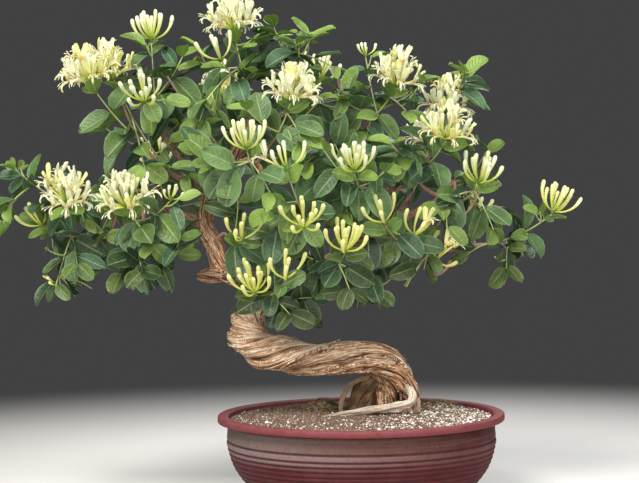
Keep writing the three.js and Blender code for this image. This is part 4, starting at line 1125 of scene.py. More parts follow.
# %% Growth tree
def growth_tree():
    tree, entry, leave = new_tree("Stems and blades", {
        "Tube Sides": "Int", "Edge Wave": "Float", "Waves": "Float", "First Blade": "Object",
        "Second Blade": "Object", "Tube Finish": "Material", "Blade Finish": "Material"})
    kind = named(tree, "blade")
    split = tree.nodes.new("GeometryNodeSeparateGeometry")
    tree.links.new(entry["Geometry"], split.inputs[0])
    tree.links.new(sums(tree, "LESS_THAN", kind, -0.5), split.inputs[1])
    circle = place(tree, "GeometryNodeCurvePrimitiveCircle",
                   {"Resolution": entry["Tube Sides"], "Radius": 1.0})
    tubes = place(tree, "GeometryNodeCurveToMesh", {
        "Curve": place(tree, "GeometryNodeMeshToCurve", {0: split.outputs[0]}),
        "Profile Curve": circle, "Scale": named(tree, "girth"), "Fill Caps": True})
    smooth = place(tree, "GeometryNodeSetShadeSmooth", {0: tubes})
    together = tree.nodes.new("GeometryNodeJoinGeometry")
    painted = place(tree, "GeometryNodeSetMaterial",
                    {"Geometry": smooth, "Material": entry["Tube Finish"]})
    tree.links.new(painted, together.inputs[0])
    size, face = named(tree, "size"), named(tree, "face", "FLOAT_VECTOR")
    turn = place(tree, "FunctionNodeAxesToRotation",
                 {0: named(tree, "heading", "FLOAT_VECTOR"), 1: face},
                 primary_axis="X", secondary_axis="Z")
    scale = place(tree, "ShaderNodeCombineXYZ",
                  {0: size, 1: sums(tree, "MULTIPLY", size, named(tree, "width")), 2: size})
    along, across = named(tree, "blade_u"), named(tree, "blade_v")
    ripple = sums(tree, "SINE", sums(tree, "MULTIPLY_ADD", along, entry["Waves"],
                                     named(tree, "phase")))
    wave = sums(tree, "MULTIPLY", sums(tree, "MULTIPLY", ripple, entry["Edge Wave"]),
                sums(tree, "ABSOLUTE", across))
    droop = sums(tree, "MULTIPLY", named(tree, "bend"), sums(tree, "POWER", along, 2.0))
    offset = place(tree, "ShaderNodeVectorMath", {
        0: face, 3: sums(tree, "MULTIPLY", size, sums(tree, "SUBTRACT", wave, droop))},
        operation="SCALE")
    for form, name in enumerate(("First Blade", "Second Blade")):
        stood = place(tree, "GeometryNodeInstanceOnPoints", {
            "Points": split.outputs[1], "Selection": sums(tree, "COMPARE", kind, float(form), 0.3),
            "Instance": place(tree, "GeometryNodeObjectInfo", {0: entry[name]}, 4),
            "Rotation": turn, "Scale": scale})
        real = place(tree, "GeometryNodeRealizeInstances", {0: stood})
        bent = place(tree, "GeometryNodeSetPosition", {"Geometry": real, "Offset": offset})
        smooth = place(tree, "GeometryNodeSetShadeSmooth", {0: bent})
        painted = place(tree, "GeometryNodeSetMaterial",
                        {"Geometry": smooth, "Material": entry["Blade Finish"]})
        tree.links.new(painted, together.inputs[0])
    leave(together.outputs[0])
    return tree


stems_and_blades = growth_tree()

# %% [markdown]
# A blade is a thin closed lens: two skins that share their outline, so that it has a real edge
# and a real underside. Its rim is marked sharp, or the two skins would shade into one another and
# leave dark teeth along it. The leaf is an egg with a rounded tip on a short stalk, folded a
# little along its midrib.

# %% Blades
WAYS = np.array([-1, -0.55, 0, 0.55, 1, 0])


def blade(name, stations, thick, fold):
    """stations are pairs of share along and half width. Six points go round each."""
    under = np.array([0, 0, 0, 0, 0, 1])
    rings, us, vs = [], [], []
    for u, half in stations:
        if half == 0:
            rings.append(np.array([[u, 0, 0]]))
            us.append([u]); vs.append([0.0])
            continue
        z = fold * half * np.abs(WAYS)**1.2 - under * thick
        rings.append(np.stack([np.full(6, u), WAYS * half, z], axis=1))
        us.append(np.full(6, u)); vs.append(WAYS)
    points, faces = loft(rings)
    flat = lambda rows: np.concatenate([np.ravel(row) for row in rows])
    across = flat(vs)
    thing = mesh_object(name, points / MM, faces,
                        values={"blade_u": ("f", flat(us)), "blade_v": ("f", across)})
    for edge in thing.data.edges:
        edge.use_edge_sharp = all(abs(across[k]) == 1 for k in edge.vertices)
    return thing


leaf_blade = blade("leaf_blade", [
    [0.0, 0], [0.07, 0.02], [0.13, 0.12], [0.24, 0.23], [0.4, 0.3], [0.58, 0.315], [0.75, 0.28],
    [0.88, 0.205], [0.965, 0.105], [1.0, 0]], thick=0.012, fold=0.34)
cupped_blade = blade("cupped_blade", [
    [0.0, 0], [0.06, 0.03], [0.14, 0.14], [0.3, 0.245], [0.5, 0.275], [0.7, 0.245], [0.86, 0.17],
    [0.96, 0.085], [1.0, 0]], thick=0.014, fold=0.5)

# %% [markdown]
# Leaf colour is layered: a blue green that grows yellower in young leaves, a pale midrib with
# finer side veins that leave it at a slant, a paler thin edge, and blotches. Leaves low in the
# crown and right of its middle are darker and duller, partly for age and partly as painted
# shade, and an olive wash, most on low leaves, is painted backlight. A leaf is thin, so part of
# the light goes through it and comes out yellower on the far side.

# %% Leaf and stem finishes
def leaf_finish():
    leaf = Finish("Honeysuckle leaf", (80, 122, 84), gloss=0.44, shine=0.5)
    tree, age_and_painted_shade = leaf.tree, leaf.value("age_and_painted_shade")
    along, across = leaf.value("blade_u"), sums(tree, "ABSOLUTE", leaf.value("blade_v"))
    leaf.wash((leaf.value("tint"), 0.35, 1.0, 0.0, 0.9), (108, 138, 60))
    leaf.wash((leaf.grain(38.0, 3.0), 0.4, 0.68, 0.0, 0.6), (118, 154, 114))
    # Darker, duller colour on leaves low in the crown: partly age, partly painted shade.
    leaf.wash((age_and_painted_shade, 0.05, 0.75, 0.0, 0.95), (48, 72, 42))
    # Painted backlight: an olive yellow where light would shine through a leaf from behind.
    leaf.wash((leaf.value("olive_painted_backlight"), 0.0, 1.0, 0.0, 0.8), (108, 120, 38))
    leaf.wash((leaf.value("shade"), 0.0, 1.0, 0.0, 0.85), (174, 206, 88))
    rows = sums(tree, "MULTIPLY_ADD", across, -1.7, leaf.times(along, 8.0))
    veins = leaf.times((sums(tree, "PINGPONG", rows, 0.5), 0.0, 0.12, 1.0, 0.0),
                       (across, 0.55, 0.8, 1.0, 0.0))
    midrib = leaf.share((across, 0.02, 0.12, 1.0, 0.0))
    leaf.wash(leaf.times(veins, 0.5), (158, 186, 132))
    leaf.shade((leaf.grain(26.0, 3.0), 0.38, 0.54, 0.7, 0.0), 0.58)
    leaf.wash(leaf.times(midrib, 0.75), (184, 204, 152))
    leaf.wash((across, 0.8, 1.0, 0.0, 0.5), (170, 196, 154))
    leaf.shade(1.0, 0.84)
    # More painted shade on the same leaves, partly for age.
    leaf.shade((age_and_painted_shade, 0.1, 0.7), 0.62)
    leaf.relief(sums(tree, "MAXIMUM", veins, midrib), -0.0006)
    leaf.relief(leaf.grain(90.0, 3.0), 0.0022)
    leaf.relief(leaf.grain(420.0, 2.0), 0.0002)
    return leaf.done(lets_through=0.4)


def stem_finish():
    stem = Finish("Green stem", (150, 170, 100), gloss=0.6, shine=0.35)
    stem.wash((stem.grain(120.0, 3.0), 0.4, 0.6, 0.0, 0.5), (158, 150, 96))
    stem.wash((stem.value("shade"), 0.1, 0.9), (150, 118, 98))
    stem.relief(stem.grain(500.0, 2.0), 0.0002)
    return stem.done()


leaf_material, stem_material = leaf_finish(), stem_finish()

# %% [markdown]
# ## Leafy sprays
#
# Each spray is one piece: its shoots as tubes, the leaves that stand on the solid, and smaller
# leaves between them that fill the crown, as on a plant that is clipped back every year.

# %% Young side shoots, as x and z of their tips
YOUNG_TIPS = [
    (-434, 352), (-423, 420), (-403, 354), (-387, 321), (-375, 273), (-359, 259), (-339, 353),
    (-334, 381), (-335, 269), (-324, 294), (-315, 333), (-312, 357), (-299, 478), (-288, 536),
    (-264, 575), (-236, 501), (-237, 322), (-233, 449), (-232, 419), (-225, 475), (-223, 550),
    (-216, 332), (-214, 378), (-211, 406), (-205, 300), (-196, 569), (-194, 473), (-175, 484),
    (-147, 563), (-146, 381), (-128, 578), (-125, 533), (-106, 397), (-99, 585), (-81, 448),
    (-76, 572), (-70, 311), (-65, 419), (-58, 582), (-43, 376), (-24, 553), (-21, 522),
    (-19, 357), (10, 517), (8, 356), (12, 456), (15, 296), (20, 560), (25, 480), (23, 238),
    (41, 443), (39, 279), (55, 268), (79, 520), (80, 288), (105, 339), (109, 295), (127, 403),
    (132, 533), (135, 306), (165, 303), (183, 314), (210, 330), (210, 301), (225, 357)]
FRONT, BEHIND = -30.0, 70.0
CLEARINGS = [
    (-308, 480, 34), (-267, 460, 24), (152, 270, 30), (184, 268, 22), (-225, 271, 24),
    (-9, 257, 22),
    (61, 265, 18), (-423, 333, 16), (-326, 273, 22), (-132, 230, 34), (239, 322, 26),
    (216, 284, 16), (28, 222, 22), (-10, 230, 20), (-360, 234, 18), (-332, 250, 16),
    (-295, 256, 20),
    (-246, 256, 18), (-214, 292, 18), (-168, 321, 24), (-183, 289, 20), (-209, 554, 14),
    (-14, 556, 16), (119, 280, 16), (-405, 320, 16)]


HEAD_RISE, HEAD_REACH, STALK_REACH, STALK_DROP = 16, 25, 9, 60
HEAD_ENDS = [shoot.line.at(1.0) for shoots, _ in sprays for shoot in shoots if shoot.kind != "leaf"]


def is_clear_of(leaf):
    """Whether a leaf keeps out of the places that are clipped bare, and from before the heads."""
    tip = leaf_tip(leaf)
    spots = (tip, (tip + leaf["base"]) / 2)
    if any(math.hypot(p[0] - x, p[2] - z) < radius for p in spots for x, z, radius in CLEARINGS):
        return False
    for x, y, z in HEAD_ENDS:
        for p in (q for q in spots if q[1] < y + 20):
            on_stalk = abs(p[0] - x) < STALK_REACH and z - STALK_DROP < p[2] < z
            if on_stalk or math.hypot(p[0] - x, p[2] - z - HEAD_RISE) < HEAD_REACH:
                return False
    return True


def wood_places():
    """Points on all shoots, each with the number of its spray, to start a young shoot from."""
    rows = [(number, shoot.line.at(t)) for number, (shoots, _) in enumerate(sprays)
            for shoot in shoots for t in np.linspace(0.1, 0.85, 9)]
    return np.array([number for number, _ in rows]), np.array([point for _, point in rows])


def young_shoot(x, z, back, draw):
    """Grows to x and z from the nearest older shoot, and keeps near its depth."""
    flat = WOOD[:, [0, 2]] - (x, z)
    near = int(np.argmin(np.hypot(*flat.T) + np.abs(WOOD[:, 1] - back) * 0.35))
    start = WOOD[near]
    depth = start[1] + (12 + 20 * draw()) * (1 if back > 0 else -1)
    return int(WOOD_OF[near]), Shoot(start, "leaf", np.array([x, depth, z], float), True, draw)


WOOD_OF, WOOD = wood_places()
young_shoots = {number: [] for number in range(len(sprays))}
for k, (x, z) in enumerate(YOUNG_TIPS):
    for back in (FRONT, BEHIND):
        number, shoot = young_shoot(x, z, back, draws_from(7000 + 10 * k + int(back > 0)))
        young_shoots[number].append(shoot)
print("young shoots:", sum(len(group) for group in young_shoots.values()))

# %% Grow the sprays
SHOOT_RADIUS, SIDE_RADIUS, TIP_RADIUS = 1.5, 1.2, 0.8
CROWN_LOW, CROWN_SPAN = 240.0, 160.0
BOX_LOW, BOX_HIGH = (np.array(corner) / MM for corner in CAD_BOX)


def leaf_values(leaf, draw):
    base = leaf["base"]
    low = 1 - (base[2] - CROWN_LOW) / CROWN_SPAN
    high = float(eased(base[2], 235, 400))
    # Leaves low in the crown and right of its middle are made darker and duller: partly their age,
    # partly painted shade.
    old = low + 0.5 * eased(base[0], 20, 180) - 0.8 * eased(base[0], 160, 225) - 0.1
    old = float(np.clip(old, 0, 1))
    # Young leaves low in the crown get less of their yellow green wash, as painted shade.
    return {"shade": leaf["young"] * (0.6 + 0.4 * draw()) * (0.35 + 0.65 * high),
            "tint": draw() * (1 - 0.6 * old), "phase": 6.28 * draw(), "bend": leaf["bend"],
            # The olive wash, most on low leaves, is painted backlight, as if light shone through
            # them from behind.
            "olive_painted_backlight": float(np.clip(low * 0.4 + 0.8 * draw() - 0.45, 0, 1)),
            "age_and_painted_shade": old * (0.35 + 0.65 * draw())}


def filler_leaves(shoot, draw):
    """Smaller leaves between the pairs and near a shoot's foot."""
    step = 0.72 * LEAF_SPACING / shoot.length
    share = 1 - step * 0.8
    while share > 0.1:
        around = 45 + 360 * draw()
        for half in (0, 180):
            if draw() < 0.8:
                length = LEAF_LENGTH * (0.46 + 0.5 * draw())
                leaf = shoot.leaf(share, around + half, length, 0.2 + 0.5 * draw(),
                                  0.35 + 0.4 * draw(), 0.05 + 0.2 * draw(), 0.25 * draw()**3)
                leaf = grown_leaf(leaf, 1, 0)
                tip = leaf_tip(leaf)
                inside = (tip > BOX_LOW + 2).all() and (tip < BOX_HIGH - 2).all()
                if inside and is_clear_of(leaf):
                    yield leaf
        share -= step


LEAF_ROOM, CUPPED_SHARE, WIDTH_SPREAD = 9.0, 0.35, 0.3
STANDING_ROLL_WIDTH, YOUNG_ROLL_WIDTH = (14.0, 0.8), (30.0, 0.68)
MIDDLES = [(leaf["base"] + leaf_tip(leaf)) / 2 for leaves in leaves_of for leaf in leaves]


def with_room(leaves):
    """Those leaves whose middles keep apart from the leaves that stand already."""
    for leaf in leaves:
        middle = (leaf["base"] + leaf_tip(leaf)) / 2
        if np.linalg.norm(np.array(MIDDLES) - middle, axis=1).min() > LEAF_ROOM:
            MIDDLES.append(middle)
            yield leaf


def spray_growth(number, shoots, leaves):
    growth, draw, standing = Growth(), draws_from(9000 + number), len(leaves)
    for shoot in young_shoots[number]:
        own = [grown_leaf(leaf, 1, 0) for _, pair in shoot.pairs for leaf in pair]
        own = list(with_room([leaf for leaf in own if is_clear_of(leaf)]))
        if own:
            shoots, leaves = shoots + [shoot], leaves + own
    leaves = leaves + list(with_room(
        [leaf for shoot in shoots for leaf in filler_leaves(shoot, draw)]))
    for shoot in shoots:
        t = np.linspace(0, 1, 14)
        first = SIDE_RADIUS if shoot.side else SHOOT_RADIUS
        woody = (1 - t) * (0.9 if not shoot.side else 0.35)
        growth.line(shoot.line.at(t), first + (TIP_RADIUS - first) * t, shade=woody)
    for k, leaf in enumerate(leaves):
        roll, width = STANDING_ROLL_WIDTH if k < standing else YOUNG_ROLL_WIDTH
        face = turned(leaf["face"], leaf["forward"], roll * (2 * draw() - 1))
        growth.stand(leaf["base"], leaf["forward"], face, leaf["length"],
                     int(draw() < CUPPED_SHARE), width + WIDTH_SPREAD * draw(),
                     **leaf_values(leaf, draw))
    return growth


GREEN = dict(tube_sides=6, edge_wave=0.042, waves=6.0, first_blade=leaf_blade,
             second_blade=cupped_blade, tube_finish=stem_material, blade_finish=leaf_material)


def grow(name, growth, node, slot, **inputs):
    source = growth.made(name + "_lines")
    piece = worked(name, source, stems_and_blades, **inputs)
    discard(source)
    finished(piece, None, slot, node)


for number, (shoots, _) in enumerate(sprays):
    grow(f"spray_{number + 1}_leaves", spray_growth(number, shoots, leaves_of[number]),
         f"leafy_spray_{number + 1}", "leaf", **GREEN)

# %% [markdown]
# ## Limbs and twigs
#
# Limbs carry the same stringy bark as the upper trunk, so they are swept in the same way. Twigs
# are thin and smooth, a reddish brown, and are plain tubes from the growth tree. So are the fine
# hairs of torn fibre on the trunk.

# %% Limbs and twigs
limb_bark = Bark()
for k, (name, rows) in enumerate(LIMBS.items()):
    swept_bark(limb_bark, rows, 26 * len(rows), 22, 5, 0.24, lambda s: 0.9 * s,
               lambda s: 1 + 0 * s, 31.0 + k, painted_furrow_shade=0.6)
finished(limb_bark.made("limbs"), bark_material, "bark", "trunk")

OPEN_TWIGS = [
    [[-298, -12, 512], [-291, -12, 494], [-279, -12, 466], [-260, -10, 437], [-238, -8, 416],
     [-214, 0, 396], [-190, 6, 384]],
    [[-237, -14, 533], [-221, -14, 509], [-202, -10, 483], [-180, 0, 451], [-158, 6, 428]],
    [[-26, -20, 538], [-20, -20, 512], [-7, -10, 483], [6, 4, 462]],
    [[104, -12, 450], [84, -12, 426], [63, -6, 402], [45, 10, 380], [40, 30, 360]],
    [[157, -10, 393], [142, -10, 366], [123, -6, 341], [108, -8, 316]],
    [[84, -8, 308], [88, -14, 289], [97, -14, 281], [108, -14, 288], [114, -14, 298]]]

BARK_HAIRS = 240


def add_bark_hairs(growth, skin, draw):
    """Fine fibres that stand off the trunk, thickest round its upper bend."""
    centre, ahead, normal, across, reach = skin
    for k in range(BARK_HAIRS):
        share = 0.34 + 0.24 * draw() if k % 2 else 0.02 + 0.6 * draw()
        i, column = int(share * (TRUNK_STEPS - 1)), int(draw() * TRUNK_SIDES)
        angle = 2 * math.pi * column / TRUNK_SIDES
        out = math.cos(angle) * normal[i] + math.sin(angle) * across[i]
        along = ahead[i] * (1 if draw() < 0.5 else -1)
        start = centre[i] + out * (reach[i, column] - 0.6)
        half = 2 + 5 * draw()
        middle = start + unit(out * (0.4 + 0.6 * draw()) + along) * half
        end = middle + unit(along + out * (1.2 * draw() - 0.3) + UP * (draw() - 0.6)) * half
        growth.line(Bend(start, middle, end).at(np.linspace(0, 1, 6)),
                    np.linspace(0.32, 0.12, 6), shade=0.6 + 0.4 * draw())


twig_growth = Growth()
add_bark_hairs(twig_growth, trunk_skin, draws_from(333))
for rows in OPEN_TWIGS:
    t = np.linspace(0, 1, 6 * len(rows))
    twig_growth.line(smooth_line(rows, t), 1.6 + 0.7 * t, shade=0.8 + 0.2 * t)
for shoots, twig in sprays:
    t = np.linspace(0, 1, 16)
    twig_growth.line(twig.at(t), 2.7 - 1.1 * t, shade=1.0)
grow("twigs", twig_growth, "trunk", "bark", **{**GREEN, "tube_sides": 8})

# %% [markdown]
# ## Flower heads
#
# A head is a fan of long tubes on one green heart. A closed flower is a slim greenish tube that
# swells to a cream club and curves up. An opened one splits into a broad upper lip of four lobes
# that curls back and a narrow lower lip that rolls under like a hook, and thin stamens hang out
# of it. The lines are worked out as on the solids, and the growth tree makes tubes and lips from
# them. More flowers stand inside the ring of ten, as on the real head.

# %% Forms of heads
HEADS = {"bud": (range(10), 0, 1), "open": (range(10), 0.6, 0.95),
         "few": ((0, 2, 3, 6, 8), 0.1, 0.9), "tiny": ((0, 1, 3, 6, 8), 0, 0.45)}
FLOWER_LENGTH, UPPER_FLOWERS, HEART_RADIUS, TINY_SINK, HEAD_UPTURN = 40, 0.88, 3.6, 1.5, 1.2
FLOWER_TRIES = [(size, turn) for size in (1, 0.8, 0.62) for turn in (0, 18, -18)]
BUD_LINE, OPENED_LINE = (0.45, 0.55, 0.45, 0.45, 1), (0.3, 0.55, 0.15, 1, 0.35)
LIP_TIP = (-0.06, 0.38)


def heart_places(foot, axis, across, phase):
    """Middles of the ten faces of the heart that may carry a flower, and the heart's centre."""
    centre = foot + axis * HEART_RADIUS
    flat, rise = 2 / math.sqrt(5) * HEART_RADIUS, HEART_RADIUS / math.sqrt(5)
    ring = lambda height, start: [
        centre + axis * height + flat * turned(across, axis, start + 72 * k) for k in range(5)]
    low, high, top = ring(-rise, phase), ring(rise, phase - 36), centre + axis * HEART_RADIUS
    waist = [(low[k] + high[(k + 1) % 5] + high[k]) / 3 for k in range(5)]
    return waist + [(high[k] + high[(k + 1) % 5] + top) / 3 for k in range(5)], centre


def flower_line(start, outward, axis, length, opened, size, turn):
    lift, elbow_share, rest, out, up = OPENED_LINE if opened else BUD_LINE
    heading = unit(turned(outward, axis, turn) + axis * lift)
    elbow = start + heading * elbow_share * size * length
    return Bend(start, elbow, elbow + unit(heading * out + axis * up) * rest * size * length)


def mouth_of(line, axis):
    forward = line.heading(1)
    up = unit(axis - forward * axis.dot(forward))
    return line.at(1.0), forward, up, np.cross(forward, up)


def flower_mark(line, axis, length, opened):
    """A corner that this flower has on its solid."""
    if not opened:
        return line.at(1.0)
    mouth, forward, up, _ = mouth_of(line, axis)
    return mouth + forward * LIP_TIP[0] * length + up * LIP_TIP[1] * length


def head_plan(shoot, draw, node):
    places, opened_share, size = HEADS[shoot.kind]
    axis = unit(shoot.line.heading(1) + UP * HEAD_UPTURN)
    across = unit(np.array([1.0, 0, 0]) - axis * axis[0])
    foot = shoot.line.at(1.0) + axis * (-TINY_SINK if shoot.kind == "tiny" else END_GAP)
    spots, centre = heart_places(foot, axis, across, 72 * draw())
    plans = [(k, FLOWER_LENGTH * size * (1 if k < 5 else UPPER_FLOWERS) * (0.9 + 0.2 * draw()),
              draw() < opened_share) for k in places]
    corners, flowers = corners_of(node), []
    for k, length, opened in plans:
        outward = unit(spots[k] - centre)
        lines = [flower_line(spots[k], outward, axis, length, opened, *tried)
                 for tried in FLOWER_TRIES]
        fits = [(corners.find(flower_mark(line, axis, length, opened))[2], i)
                for i, line in enumerate(lines)]
        distance, i = min(fits)
        if distance < FOUND:
            flowers.append((lines[i], length, opened))
    return foot, axis, centre, flowers


heads = []
for number, (shoots, _) in enumerate(sprays):
    for i, shoot in enumerate(shoots):
        if shoot.kind != "leaf":
            own = f"flower_head_{number + 1}_{i + 1}"
            node = own if shoot.kind != "tiny" else f"leafy_spray_{number + 1}"
            plan = head_plan(shoot, draws_from(100 * number + i), node)
            heads.append((own, node, shoot.kind, plan))
print("heads:", len(heads), "flowers:", sum(len(plan[3]) for *_, plan in heads))

# %% [markdown]
# The petal finish runs from green at the foot of a tube through greenish yellow to cream, by the
# `shade` that is stored along it. A throat that has been visited turns orange yellow.

# %% Petals
def petal_finish(name, blades):
    petal = Finish(name, (132, 160, 66), gloss=0.6, shine=0.3)
    tone = petal.value("shade")
    petal.wash((tone, 0.04, 0.18), (198, 212, 92))
    petal.wash((tone, 0.18, 0.5), (232, 235, 142))
    petal.wash((tone, 0.45, 0.85), (248, 248, 226))
    petal.wash((petal.value("tint"), 0.0, 1.0, 0.0, 0.55), (238, 236, 124))
    petal.wash((tone, 1.15, 1.6), (236, 188, 74))
    petal.wash((petal.grain(150.0, 3.0), 0.5, 0.75, 0.0, 0.3), (232, 232, 156))
    if blades:
        petal.wash((petal.value("blade_u"), 0.0, 0.35, 0.75, 0.0), (240, 212, 110))
    petal.relief(petal.grain(700.0, 2.0), 0.0001)
    return petal.done(lets_through=0.5)


tube_material, lip_material = petal_finish("Flower tube", False), petal_finish("Flower lip", True)


def gutter(name, stations, thick, round_by, lobes=0.0):
    """A petal rolled like a gutter, with a rounded end. stations are share along and radius."""
    turns = np.linspace(-1, 1, 7)
    ends = 1 - lobes * np.array([1, 0.1, 0.5, 0, 0.5, 0.1, 1])
    rings, us, vs = [], [], []
    for u, radius in stations:
        angles = turns * math.radians(round_by)
        x = u * (1 + (ends - 1) * u**3)
        shell = lambda r: np.stack([x, r * np.sin(angles), radius - r * np.cos(angles)], axis=1)
        rings.append(np.vstack([shell(radius), shell(radius + thick)[::-1]]))
        us.append(np.full(14, u))
        vs.append(np.concatenate([turns, turns[::-1]]))
    points, faces = loft(rings)
    return mesh_object(name, points / MM, faces, values={
        "blade_u": ("f", np.concatenate(us)), "blade_v": ("f", np.concatenate(vs))})


upper_lip = gutter("upper_lip", [(0.0, 0.07), (0.2, 0.085), (0.5, 0.11), (0.78, 0.125),
                                 (0.93, 0.11),
                                 (1.0, 0.06)], 0.035, 82, lobes=0.07)

# %% Grow the heads
BUD_GIRTH = [(0.0, 1.4), (0.05, 1.25), (0.1, 1.1), (0.35, 1.3), (0.6, 1.75), (0.78, 2.35),
             (0.9, 2.75), (0.965, 2.3), (0.99, 1.3), (1.0, 0.2)]
OPEN_GIRTH = [(0.0, 1.4), (0.06, 1.25), (0.12, 1.0), (0.5, 1.3), (0.85, 1.9), (1.0, 2.4)]
STAMENS, BOW, YELLOW_BELOW = 4, 0.16, 400.0
UPRIGHT_FLOWERS, UPRIGHT_LEAN, LEVEL_FLOWERS = {"bud": 4, "open": 7}, 0.55, 7


def curl(start, heading, face, length, turn, steps):
    """Points of a strap that runs straight out and then rolls away from its face, in degrees."""
    over = unit(face - heading * heading.dot(face))
    t = np.linspace(0, 1, steps)
    angle = np.radians(turn) * (np.clip(t - 0.25, 0, 1) / 0.75)**1.2
    ways = np.cos(angle)[:, None] * heading - np.sin(angle)[:, None] * over
    return start + np.vstack([0 * heading, np.cumsum(ways[:-1], axis=0)]) * length / (steps - 1)


def bowed(line, axis):
    """The same line from end to end, drawn out and down in its middle, as a bud bends."""
    span = line.end - line.start
    aside = span - axis * span.dot(axis)
    return Bend(line.start, line.middle + BOW * (aside - axis * np.linalg.norm(span)), line.end)


def grow_bud(growth, line, thick, draw, yellow):
    t = np.array([share for share, _ in BUD_GIRTH])
    fine = np.unique(np.concatenate([t, [0.2, 0.3, 0.5, 0.7]]))
    girth = np.interp(fine, t, [g for _, g in BUD_GIRTH]) * thick
    pale = 0.75 + 0.25 * draw()
    shade = np.interp(fine, [0, 0.04, 0.14, 0.5, 0.8, 1], [0, 0, 0.2, 0.55, 0.85 * pale, pale])
    growth.line(line.at(fine), girth, shade=shade, tint=yellow)


def grow_opened(growth, line, length, axis, draw, yellow):
    t = np.array([share for share, _ in OPEN_GIRTH])
    fine = np.unique(np.concatenate([t, [0.25, 0.4, 0.75]]))
    throat = 1.5 if draw() < 0.5 else 0.9
    yellow = max(yellow, 0.9 if draw() < 0.35 else 0.15)
    shade = np.interp(fine, [0, 0.05, 0.14, 0.5, 1], [0, 0, 0.25, 0.55, throat])
    growth.line(line.at(fine), np.interp(fine, t, [g for _, g in OPEN_GIRTH]), shade=shade,
                tint=yellow)
    mouth, forward, up, side = mouth_of(line, axis)
    for aside in (-1, 1):
        rise = unit(up * 0.7 + UP * 0.5 + forward * (0.1 + 0.5 * draw())
                    + side * aside * (0.1 + 0.25 * draw()))
        growth.stand(mouth - forward + up * 0.6 + side * aside * 1.3, rise,
                     unit(forward - up * 0.4 + side * aside * 0.5),
                     (0.44 + 0.14 * draw()) * length, bend=-0.1 - 0.35 * draw(),
                     width=0.95 + 0.3 * draw(), shade=0.95, tint=yellow, phase=6.28 * draw())
    out = unit(forward - UP * (0.1 + 0.3 * draw()))
    hook = curl(mouth - forward - up * 0.8, out, UP, (0.46 + 0.14 * draw()) * length,
                90 + 130 * draw(), 11)
    growth.line(hook, np.interp(np.linspace(0, 1, 11), [0, 0.3, 0.85, 1], [1.1, 1.0, 1.15, 0.4]),
                shade=0.9, tint=yellow)
    for k in range(STAMENS):
        aside = (k - (STAMENS - 1) / 2) * 0.3 + 0.1 * (draw() - 0.5)
        way = unit(forward + side * aside + UP * (0.4 * draw() - 0.3))
        stalk = curl(mouth - forward, way, UP, length * (0.4 + 0.14 * draw()), 30 + 90 * draw(), 8)
        growth.line(stalk, [0.36, 0.3, 0.28, 0.26, 0.26, 0.3, 0.65, 0.3],
                    shade=np.array([0.9, 0.9, 0.9, 0.9, 0.9, 1.0, 1.25, 1.25]))


def head_growth(kind, plan, seed):
    foot, axis, centre, flowers = plan
    growth, draw = Growth(), draws_from(seed)
    # Buds low in the crown are washed yellower and a little darker: partly their own colour, partly
    # painted shade.
    yellow = float(np.clip((YELLOW_BELOW - foot[2]) / 80, 0, 1)) * (kind != "open")
    bead = np.array([0.0, 0.15, 0.5, 0.85, 1.0])
    girth = HEART_RADIUS * np.array([0.25, 0.72, 0.95, 0.7, 0.2])
    growth.line([foot + axis * 2 * HEART_RADIUS * t for t in bead],
                girth * (0.6 if kind == "tiny" else 0.85))
    for line, length, opened in flowers:
        if opened:
            grow_opened(growth, line, length, axis, draw, yellow)
        else:
            grow_bud(growth, bowed(line, axis), 0.75 if kind == "tiny" else 1.0, draw, yellow)
    if kind not in UPRIGHT_FLOWERS:
        return growth
    aside = unit(np.cross(axis, [0.3, 1, 0.2]))
    for k in range(UPRIGHT_FLOWERS[kind]):
        out = turned(aside, axis, 360 * (k + 0.5 * draw()) / UPRIGHT_FLOWERS[kind])
        reach = FLOWER_LENGTH * (0.66 + 0.22 * draw())
        top = centre + axis * HEART_RADIUS * 0.6 + out * 1.2
        elbow = top + unit(axis + out * UPRIGHT_LEAN * 1.6) * reach * 0.45
        line = Bend(top, elbow, elbow + unit(axis + out * UPRIGHT_LEAN * 0.3) * reach * 0.55)
        if kind == "open" and k % 2 == 0:
            grow_opened(growth, line, FLOWER_LENGTH * 0.85, axis, draw, yellow)
        else:
            grow_bud(growth, line, 0.9, draw, yellow)
    for k in range(LEVEL_FLOWERS if kind == "open" else 0):
        out = turned(aside, axis, 360 * (k + 0.5 * draw()) / LEVEL_FLOWERS)
        reach = FLOWER_LENGTH * (0.56 + 0.16 * draw())
        elbow = centre + out * 2.5 + unit(out + axis * 0.6) * reach * 0.5
        line = Bend(centre + out * 2.5, elbow, elbow + unit(out + axis * 0.1) * reach * 0.45)
        grow_opened(growth, line, FLOWER_LENGTH * 0.85, axis, draw, yellow)
    return growth


CREAM = dict(tube_sides=6, edge_wave=0.05, waves=9.0, first_blade=upper_lip,
             second_blade=upper_lip, tube_finish=tube_material, blade_finish=lip_material)
for index, (name, node, kind, plan) in enumerate(heads):
    grow(name.replace("flower_head", "flowers"), head_growth(kind, plan, 12000 + index), node,
         "petal", **CREAM)

discard(round_grain, sharp_grain, moss_tuft, leaf_blade, cupped_blade, upper_lip)

# %% [markdown]
# ## Floor, light and camera
#
# The plant stands on a plain pale floor in soft light. The floor fades out around the plant, so
# that no far edge cuts the picture behind the crown. A large lamp stands high on the left in
# front, a weaker one on the right, a low one in front that softens the shade under the crown,
# and one behind that lifts the edges of the leaves. The room is a middle grey, against which
# pale flowers show.

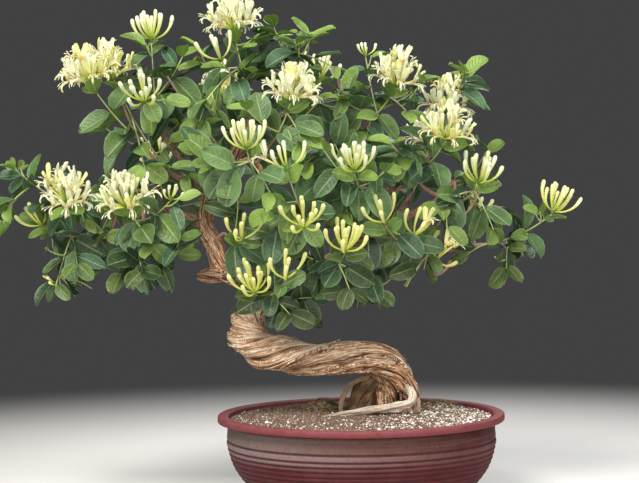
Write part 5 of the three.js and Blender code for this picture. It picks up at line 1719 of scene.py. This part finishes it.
# %% Stage
FLOOR_REACH, FLOOR_FADE = 4000, (0.4, 1.5)
ROOM_TONE, ROOM_LIGHT = (0.118, 0.119, 0.122, 1.0), 0.45
LAMPS = {
    "key": ((-1.1, -1.6, 2.3), (-0.05, 0, 0.3), 1.3, 100, (1.0, 0.985, 0.95)),
    "fill": ((1.4, -1.3, 1.9), (-0.05, 0, 0.3), 1.6, 44, (0.95, 0.98, 1.0)),
    "rim": ((0.6, 1.9, 2.0), (-0.05, 0, 0.35), 1.2, 34, (1.0, 1.0, 1.0)),
    "front": ((-0.3, -2.7, 0.5), (-0.05, 0, 0.3), 2.0, 44, (1.0, 1.0, 1.0))}


def stage():
    corners = [[-1, -1, 0], [1, -1, 0], [1, 1, 0], [-1, 1, 0]]
    floor = mesh_object("floor", np.array(corners) * FLOOR_REACH, [[0, 1, 2, 3]])
    paint = Finish("Pale floor", (226, 224, 220), gloss=0.75, shine=0.2)
    paint.wash((paint.grain(3.0, 2.0), 0.3, 0.7, 0.0, 0.3), (216, 214, 210))
    floor.data.materials.append(paint.done())
    far = place(paint.tree, "ShaderNodeVectorMath", {0: paint.place_on}, 1, operation="LENGTH")
    paint.surface((far, *FLOOR_FADE), place(paint.tree, "ShaderNodeBsdfTransparent"))
    floor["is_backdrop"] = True


def lamp(name, spot, aim, size, power, tone):
    data = bpy.data.lights.new(name, "AREA")
    data.shape, data.size, data.energy, data.color = "DISK", size, power, tone
    thing = linked(name, data)
    thing.location = spot
    thing.rotation_euler = (Vector(aim) - Vector(spot)).to_track_quat("-Z", "Y").to_euler()


stage()
for name, terms in LAMPS.items():
    lamp(name, *terms)
world = bpy.data.worlds.new("Soft light")
world.use_nodes = True
room = world.node_tree.nodes["Background"].inputs
room["Color"].default_value, room["Strength"].default_value = ROOM_TONE, ROOM_LIGHT
bpy.context.scene.world = world
bpy.context.scene.view_settings.view_transform = "Standard"
print("lamps:", len(LAMPS))

# %% Camera
LENS, SENSOR, CAMERA_SPOT = 89.64, 36.0, (-0.0493, -2.0, 0.3507)
TIP_DOWN, ROLL = 0.77, 0.76
camera = linked("camera", bpy.data.cameras.new("camera"))
camera.data.sensor_width, camera.data.lens = SENSOR, LENS
camera.location = CAMERA_SPOT
tilt = (Matrix.Rotation(math.radians(90 - TIP_DOWN), 4, "X")
        @ Matrix.Rotation(math.radians(-ROLL), 4, "Z"))
camera.rotation_euler = tilt.to_euler()
bpy.context.scene.camera = camera

# %% Sizes, and the end
({"cad": [list(corner) for corner in CAD_BOX],
           "visual": [list(corner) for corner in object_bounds()]})
